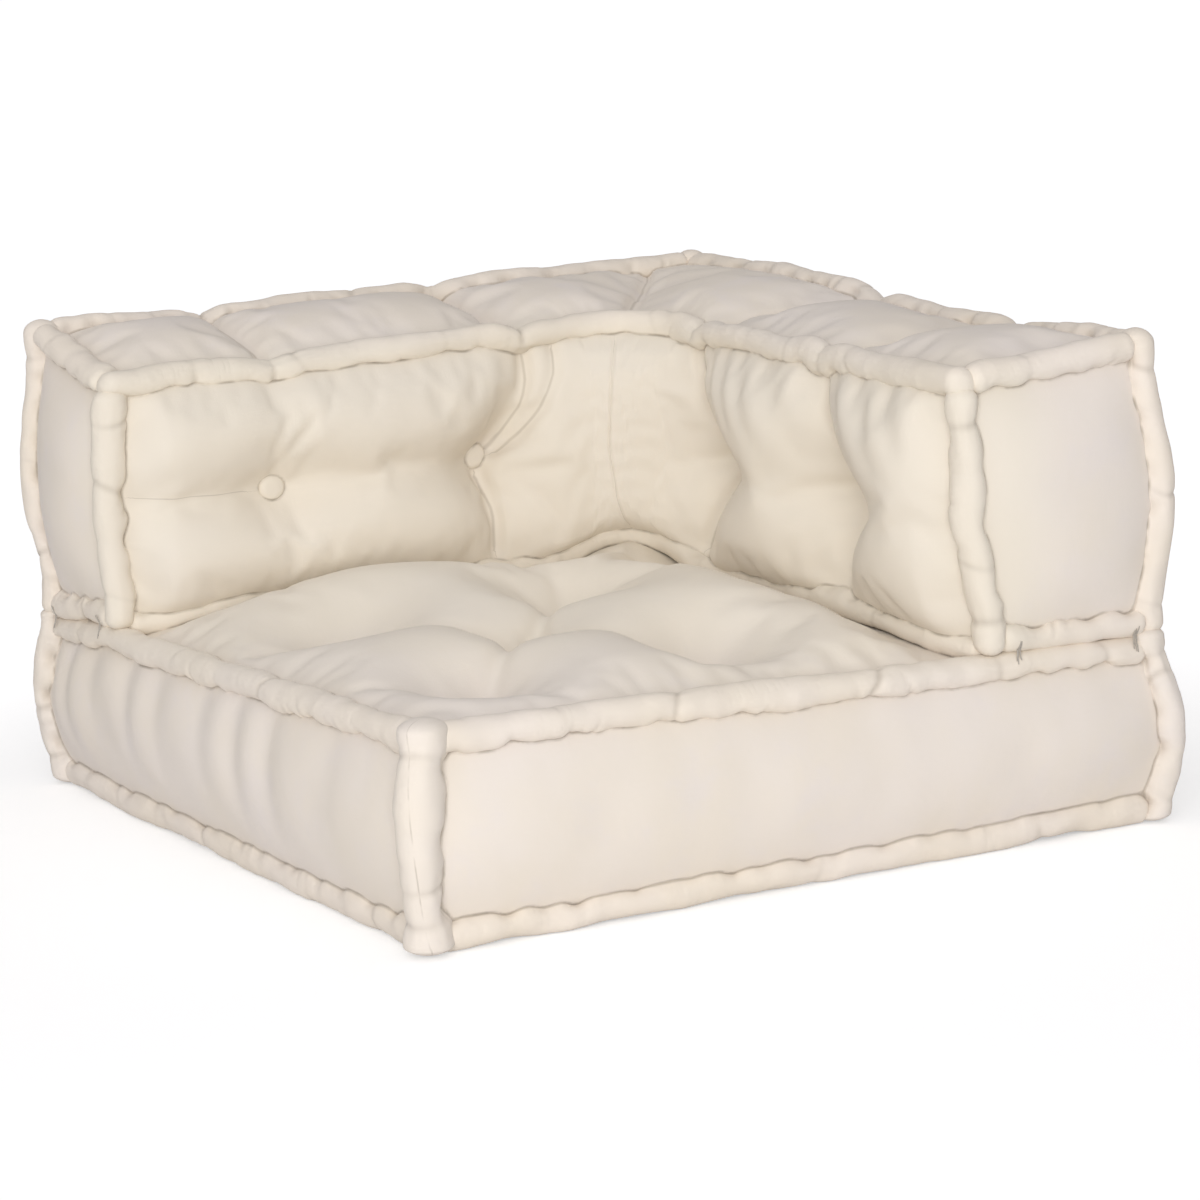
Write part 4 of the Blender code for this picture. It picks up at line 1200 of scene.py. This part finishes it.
# shader maths: one wrapped socket, with sums written as Python expressions
class Wire:
    def __init__(self, tree, socket=None):
        self.tree = tree
        self.socket = socket

    def node(self, kind, settings=None, inputs=None, out=0):
        made = self.tree.nodes.new(kind)
        for name, value in (settings or {}).items():
            setattr(made, name, value)
        for name, value in (inputs or {}).items():
            if isinstance(value, Wire):
                self.tree.links.new(value.socket, made.inputs[name])
            else:
                made.inputs[name].default_value = value
        return Wire(self.tree, made.outputs[out])

    def sum(self, operation, first, second=0.0):
        return self.node("ShaderNodeMath", {"operation": operation}, {0: first, 1: second})

    def also(self, key):
        # another output of the same node
        return Wire(self.tree, self.socket.node.outputs[key])

    def into(self, socket):
        self.tree.links.new(self.socket, socket)

    def __add__(self, other):
        return self.sum("ADD", self, other)

    def __radd__(self, other):
        return self.sum("ADD", other, self)

    def __sub__(self, other):
        return self.sum("SUBTRACT", self, other)

    def __rsub__(self, other):
        return self.sum("SUBTRACT", other, self)

    def __mul__(self, other):
        return self.sum("MULTIPLY", self, other)

    def __rmul__(self, other):
        return self.sum("MULTIPLY", other, self)


def blendColour(wire, factor, first, second):
    return wire.node("ShaderNodeMix", {"data_type": "RGBA"}, {0: factor, 6: first, 7: second}, 2)


def smoothStep(wire, value, low, high):
    return wire.node("ShaderNodeMapRange", {"interpolation_type": "SMOOTHSTEP"},
                     {"Value": value, "From Min": low, "From Max": high})


def newMaterial(name):
    material = bpy.data.materials.new(name)
    material.use_nodes = True
    tree = material.node_tree
    return material, tree.nodes["Principled BSDF"], Wire(tree)


def noisy(wire, place, scale=1.0, detail=2.0, roughness=0.5):
    return wire.node("ShaderNodeTexNoise", None,
                     {"Vector": place, "Scale": scale, "Detail": detail, "Roughness": roughness})


def stretched(wire, place, sizes):
    return wire.node("ShaderNodeVectorMath", {"operation": "MULTIPLY"}, {0: place, 1: sizes})


def carried(wire, label):
    # a number that the points of the mesh carry
    return wire.node("ShaderNodeAttribute", {"attribute_name": label}, None, 2)


# an edge is where a mask fades in; mottle, patches, breaks and crumples are noises, as scale, detail and
# roughness
canvasLook = {"cream": (0.822, 0.753, 0.690), "warm": (0.810, 0.735, 0.640), "cool": (0.787, 0.726, 0.698),
              # a lighter, warmer copy of the cream for the rolls: painted light
              "rollCream": (0.838, 0.760, 0.682), "rollWarm": (0.826, 0.742, 0.632),
              # the tint inside the corner and where it fades: painted bounce light and shade
              "straw": (0.797, 0.733, 0.622), "paintedCorner": 0.80, "paintedCornerEdge": (0.20, 0.26),
              "paintedCornerLow": (0.15, 0.19), "paintedCornerHigh": (0.40, 0.43), "paintedCornerFade": (-0.75, -0.05),
              "mottle": (5.5, 3.0, 0.55), "mottleEdge": (0.36, 0.66),
              "patches": (17.0, 4.0, 0.6), "patchEdge": (0.48, 0.78), "patchShare": 0.55,
              "slubs": ((900, 26, 1), (26, 900, 1)), "slubEdge": (0.80, 1.35), "slubShare": 0.16,
              # the colour of the painted shade in seams, creases and folds, and how strongly the seams take
              # it
              "soil": (0.24, 0.19, 0.13), "seam": 0.55, "seamEdge": (0.0003, 0.0030),
              "lowSeam": 0.85, "lowEdge": (0.055, 0.080),
              "breaks": (46.0, 2.0, 0.5), "breakEdge": (0.34, 0.66),
              "pinch": 0.34, "fold": 0.30, "foldEdge": (0.0002, 0.0017),
              "join": 0.32, "joinPlace": 0.0237, "joinSlope": -0.078, "joinEdge": (0.0002, 0.0010),
              "joinBreaks": (0.30, 0.55),
              "thread": 0.0011, "weave": 0.16, "weaveDepth": 0.0004,
              "crumple": 0.10, "crumples": (38.0, 3.0, 0.5), "crumpleDepth": 0.006,
              "puckers": 0.45, "pucker": (120, 24, 1), "puckerDepth": 0.0022, "puckerEdge": (0.40, 0.62),
              "roughness": 0.86, "uneven": 0.10}
canvasFinish = {"Specular IOR Level": 0.25, "Sheen Weight": 0.12, "Sheen Roughness": 0.6}


def makeCanvas(name, folds=0, puckered=False, joined=False, shades=("warm", "cream", "cool")):
    # plain weave on the cloth's own UV in metres, slubs, mottled cream, painted bounce light and shade inside
    # the corner, and painted shade in the seams, creases and folds
    material, shader, wire = newMaterial(name)
    look = canvasLook

    def fade(value, edge):
        return smoothStep(wire, value, *look[edge])

    uv = wire.node("ShaderNodeUVMap")
    length = wire.node("ShaderNodeSeparateXYZ", None, {0: uv})
    across = length.also(1)
    turns = tau / look["thread"]
    weave = wire.sum("SINE", length * turns) * wire.sum("SINE", across * turns)
    warpSlub, weftSlub = (noisy(wire, stretched(wire, uv, sizes)) for sizes in look["slubs"])
    slub = warpSlub + weftSlub
    place = wire.node("ShaderNodeTexCoord", None, None, 3)
    mottle, patchy = noisy(wire, place, *look["mottle"]), noisy(wire, place, *look["patches"])
    warm, cream, cool = ((*look[shade], 1) for shade in shades)
    colour = blendColour(wire, fade(mottle, "mottleEdge"), warm, cream)
    colour = blendColour(wire, fade(patchy, "patchEdge") * look["patchShare"], colour, cool)
    colour = blendColour(wire, fade(slub, "slubEdge") * look["slubShare"], colour, warm)
    # painted bounce light and shade: a darker, yellower cream inside the corner of the back, over the seat
    x = wire.node("ShaderNodeSeparateXYZ", None, {0: place})
    y, z = x.also(1), x.also(2)
    inside = fade(z, "paintedCornerLow") * fade(x + y, "paintedCornerFade")
    for value, edge in ((x, "paintedCornerEdge"), (y, "paintedCornerEdge"), (z, "paintedCornerHigh")):
        inside = inside * (1 - fade(value, edge))
    colour = blendColour(wire, inside * look["paintedCorner"], colour, (*look["straw"], 1))
    # painted shade where a cover meets the next piece: all along the seams over the bottom rolls, here and
    # there on the others
    broken = noisy(wire, place, *look["breaks"])
    paintedSeamShare = wire.sum("MAXIMUM", (1 - fade(z, "lowEdge")) * look["lowSeam"], fade(broken, "breakEdge"))
    mark = (1 - fade(carried(wire, "gap"), "seamEdge")) * look["seam"] * paintedSeamShare
    # painted shade in the pinches, stitch dimples and tucks of the rolls and in the crimps of the buttons
    lines = [carried(wire, "crease") * look["pinch"]]
    # painted shade along the sharp fold lines
    for number in range(folds):
        gap = wire.sum("ABSOLUTE", carried(wire, f"fold{number}"))
        lines.append((1 - fade(gap, "foldEdge")) * look["fold"])
    if joined:
        # painted shade in the seam where the strip of a post is joined, slanting up it
        gap = wire.sum("ABSOLUTE", across - look["joinPlace"] - length * look["joinSlope"])
        lines.append((1 - fade(gap, "joinEdge")) * fade(broken, "joinBreaks") * look["join"])
    for line in lines:
        mark = wire.sum("MAXIMUM", mark, line)
    # all these marks darken the cream as painted shade
    colour = blendColour(wire, mark, colour, (*look["soil"], 1))
    bump = wire.node("ShaderNodeBump", None, {"Strength": look["weave"], "Distance": look["weaveDepth"],
                                              "Height": weave * 0.5 + slub})
    crumples = noisy(wire, place, *look["crumples"])
    bump = wire.node("ShaderNodeBump", None, {"Strength": look["crumple"], "Distance": look["crumpleDepth"],
                                              "Height": crumples, "Normal": bump})
    if puckered:
        # short wrinkles across a roll, in groups
        wrinkles = noisy(wire, stretched(wire, uv, look["pucker"])) * fade(patchy, "puckerEdge")
        bump = wire.node("ShaderNodeBump", None, {"Strength": look["puckers"], "Height": wrinkles,
                                                  "Distance": look["puckerDepth"], "Normal": bump})
    rough = look["roughness"] + look["uneven"] * patchy
    for socket, value in (("Base Color", colour), ("Roughness", rough), ("Normal", bump)):
        value.into(shader.inputs[socket])
    for socket, value in canvasFinish.items():
        shader.inputs[socket].default_value = value
    return material


yarnLook = {"slant": 0.8, "fuzz": 900.0, "bands": 0.35, "fuzzShare": 0.5, "least": 0.1,
            "bump": 0.5, "depth": 0.0003, "roughness": 0.9}


def makeYarn(name, facts):
    # two-ply yarn: slanting bands along the thread's own UV
    material, shader, wire = newMaterial(name)
    uv = wire.node("ShaderNodeUVMap")
    length = wire.node("ShaderNodeSeparateXYZ", None, {0: uv})
    band = wire.sum("SINE", (length + length.also(1) * yarnLook["slant"]) * (tau / facts["twist"]))
    fuzz = noisy(wire, uv, yarnLook["fuzz"])
    share = band * yarnLook["bands"] + fuzz * yarnLook["fuzzShare"] + yarnLook["least"]
    colour = blendColour(wire, share, (*facts["dark"], 1), (*facts["light"], 1))
    colour.into(shader.inputs["Base Color"])
    bump = wire.node("ShaderNodeBump", None, {"Strength": yarnLook["bump"], "Distance": yarnLook["depth"],
                                              "Height": band + fuzz})
    bump.into(shader.inputs["Normal"])
    shader.inputs["Roughness"].default_value = yarnLook["roughness"]
    return material


def dress(piece, material):
    piece.data.materials.clear()
    piece.data.materials.append(material)


seatCanvas = makeCanvas("seatCanvas")
backCanvas = makeCanvas("backCanvas", foldCount)
# the rolls take the lighter, warmer copy of the cream: painted light
rollCanvas = makeCanvas("rolledCanvas", puckered=True, shades=("rollWarm", "rollCream", "warm"))
postCanvas = makeCanvas("postCanvas", puckered=True, joined=True)
buttonCanvas = makeCanvas("buttonCanvas")
for cover, canvas, first in ((seatCover, seatCanvas, True), (backCover, backCanvas, False)):
    dress(cover, canvas)
    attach(cover, "root")
    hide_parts(*[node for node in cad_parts
                         if node.startswith("seat_") == first and ("panel" in node or "filling" in node)])
for piece in rolls:
    dress(piece, postCanvas if piece.name.startswith("seatCorner") else rollCanvas)
cottonTwine, tackThread = makeYarn("cottonTwine", twine), makeYarn("tackThread", thread)
for pieces, material in ((buttons, buttonCanvas), (ties, cottonTwine), (tacks, tackThread)):
    for piece in pieces:
        dress(piece, material)
print("materials done")


# floor and light
studio = {"floor": (0.93, 0.93, 0.93), "floorSize": 80, "floorLevel": -0.0005, "roughness": 0.9,
          "glow": 0.22, "glowStrength": 2.88, "glowNear": 0.74, "reach": (0.75, 1.5),
          "nearPlace": (-0.35, -0.45, 0.0),
          "sky": (1.0, 0.985, 1.0), "toward": (-0.6, -0.8, 0.0), "front": 0.66, "rear": 0.15, "zenith": 0.74,
          "keyPlace": (-2.5, -3.6, 1.2), "keyAim": (0, 0, 0.2), "keySize": 2.6, "key": 99}


def seenRays(wire):
    # rays that see the white backdrop itself
    camera = wire.node("ShaderNodeLightPath")
    return camera + camera.also("Is Glossy Ray") + camera.also("Is Transmission Ray")


def makeStudio():
    deselectAll()
    bpy.ops.mesh.primitive_plane_add(size=studio["floorSize"], location=(0, 0, studio["floorLevel"]))
    floor = bpy.context.object
    floor.name = "studioFloor"
    material, shader, wire = newMaterial("paleFloor")
    shader.inputs["Base Color"].default_value = (*studio["floor"], 1)
    shader.inputs["Roughness"].default_value = studio["roughness"]
    shader.inputs["Specular IOR Level"].default_value = 0.0
    # the floor is lit less with distance, so it glows more there
    place = wire.node("ShaderNodeTexCoord", None, None, 3)
    away = wire.node("ShaderNodeVectorMath", {"operation": "DISTANCE"}, {0: place, 1: studio["nearPlace"]}, 1)
    near = (*[studio["glowNear"]] * 3, 1)
    white = blendColour(wire, smoothStep(wire, away, *studio["reach"]), near, (1, 1, 1, 1))
    glow = wire.node("ShaderNodeEmission", None, {"Color": white, "Strength": studio["glowStrength"]})
    surface = wire.node("ShaderNodeMixShader", None,
                        {0: seenRays(wire) * studio["glow"], 1: Wire(wire.tree, shader.outputs[0]), 2: glow})
    surface.into(wire.tree.nodes["Material Output"].inputs["Surface"])
    dress(floor, material)

    # a surround that is brightest in front and above, as between large soft boxes
    world = bpy.data.worlds.new("studio")
    bpy.context.scene.world = world
    world.use_nodes = True
    sky = Wire(world.node_tree)
    way = sky.node("ShaderNodeTexCoord")
    height = sky.node("ShaderNodeSeparateXYZ", None, {0: way}, 2)
    height = sky.sum("MAXIMUM", height, 0.0)
    ahead = sky.node("ShaderNodeVectorMath", {"operation": "DOT_PRODUCT"}, {0: way, 1: studio["toward"]}, 1)
    front = sky.sum("MAXIMUM", ahead, 0.0)
    level = height * height * studio["zenith"] + front * studio["front"] + (front - ahead) * studio["rear"]
    lit = sky.node("ShaderNodeBackground", None, {"Color": (*studio["sky"], 1), "Strength": level})
    seen = sky.node("ShaderNodeBackground", None, {"Color": (1, 1, 1, 1), "Strength": 1.0})
    both = sky.node("ShaderNodeMixShader", None, {0: seenRays(sky), 1: lit, 2: seen})
    both.into(sky.tree.nodes["World Output"].inputs["Surface"])

    deselectAll()
    bpy.ops.object.light_add(type="AREA", location=studio["keyPlace"])
    lamp = bpy.context.object
    lamp.name = "keyLamp"
    lamp.data.size = studio["keySize"]
    lamp.data.energy = studio["key"]
    lamp.rotation_euler = (Vector(studio["keyAim"]) - lamp.location).to_track_quat("-Z", "Y").to_euler()


makeStudio()
bpy.context.scene.view_settings.view_transform = "Standard"
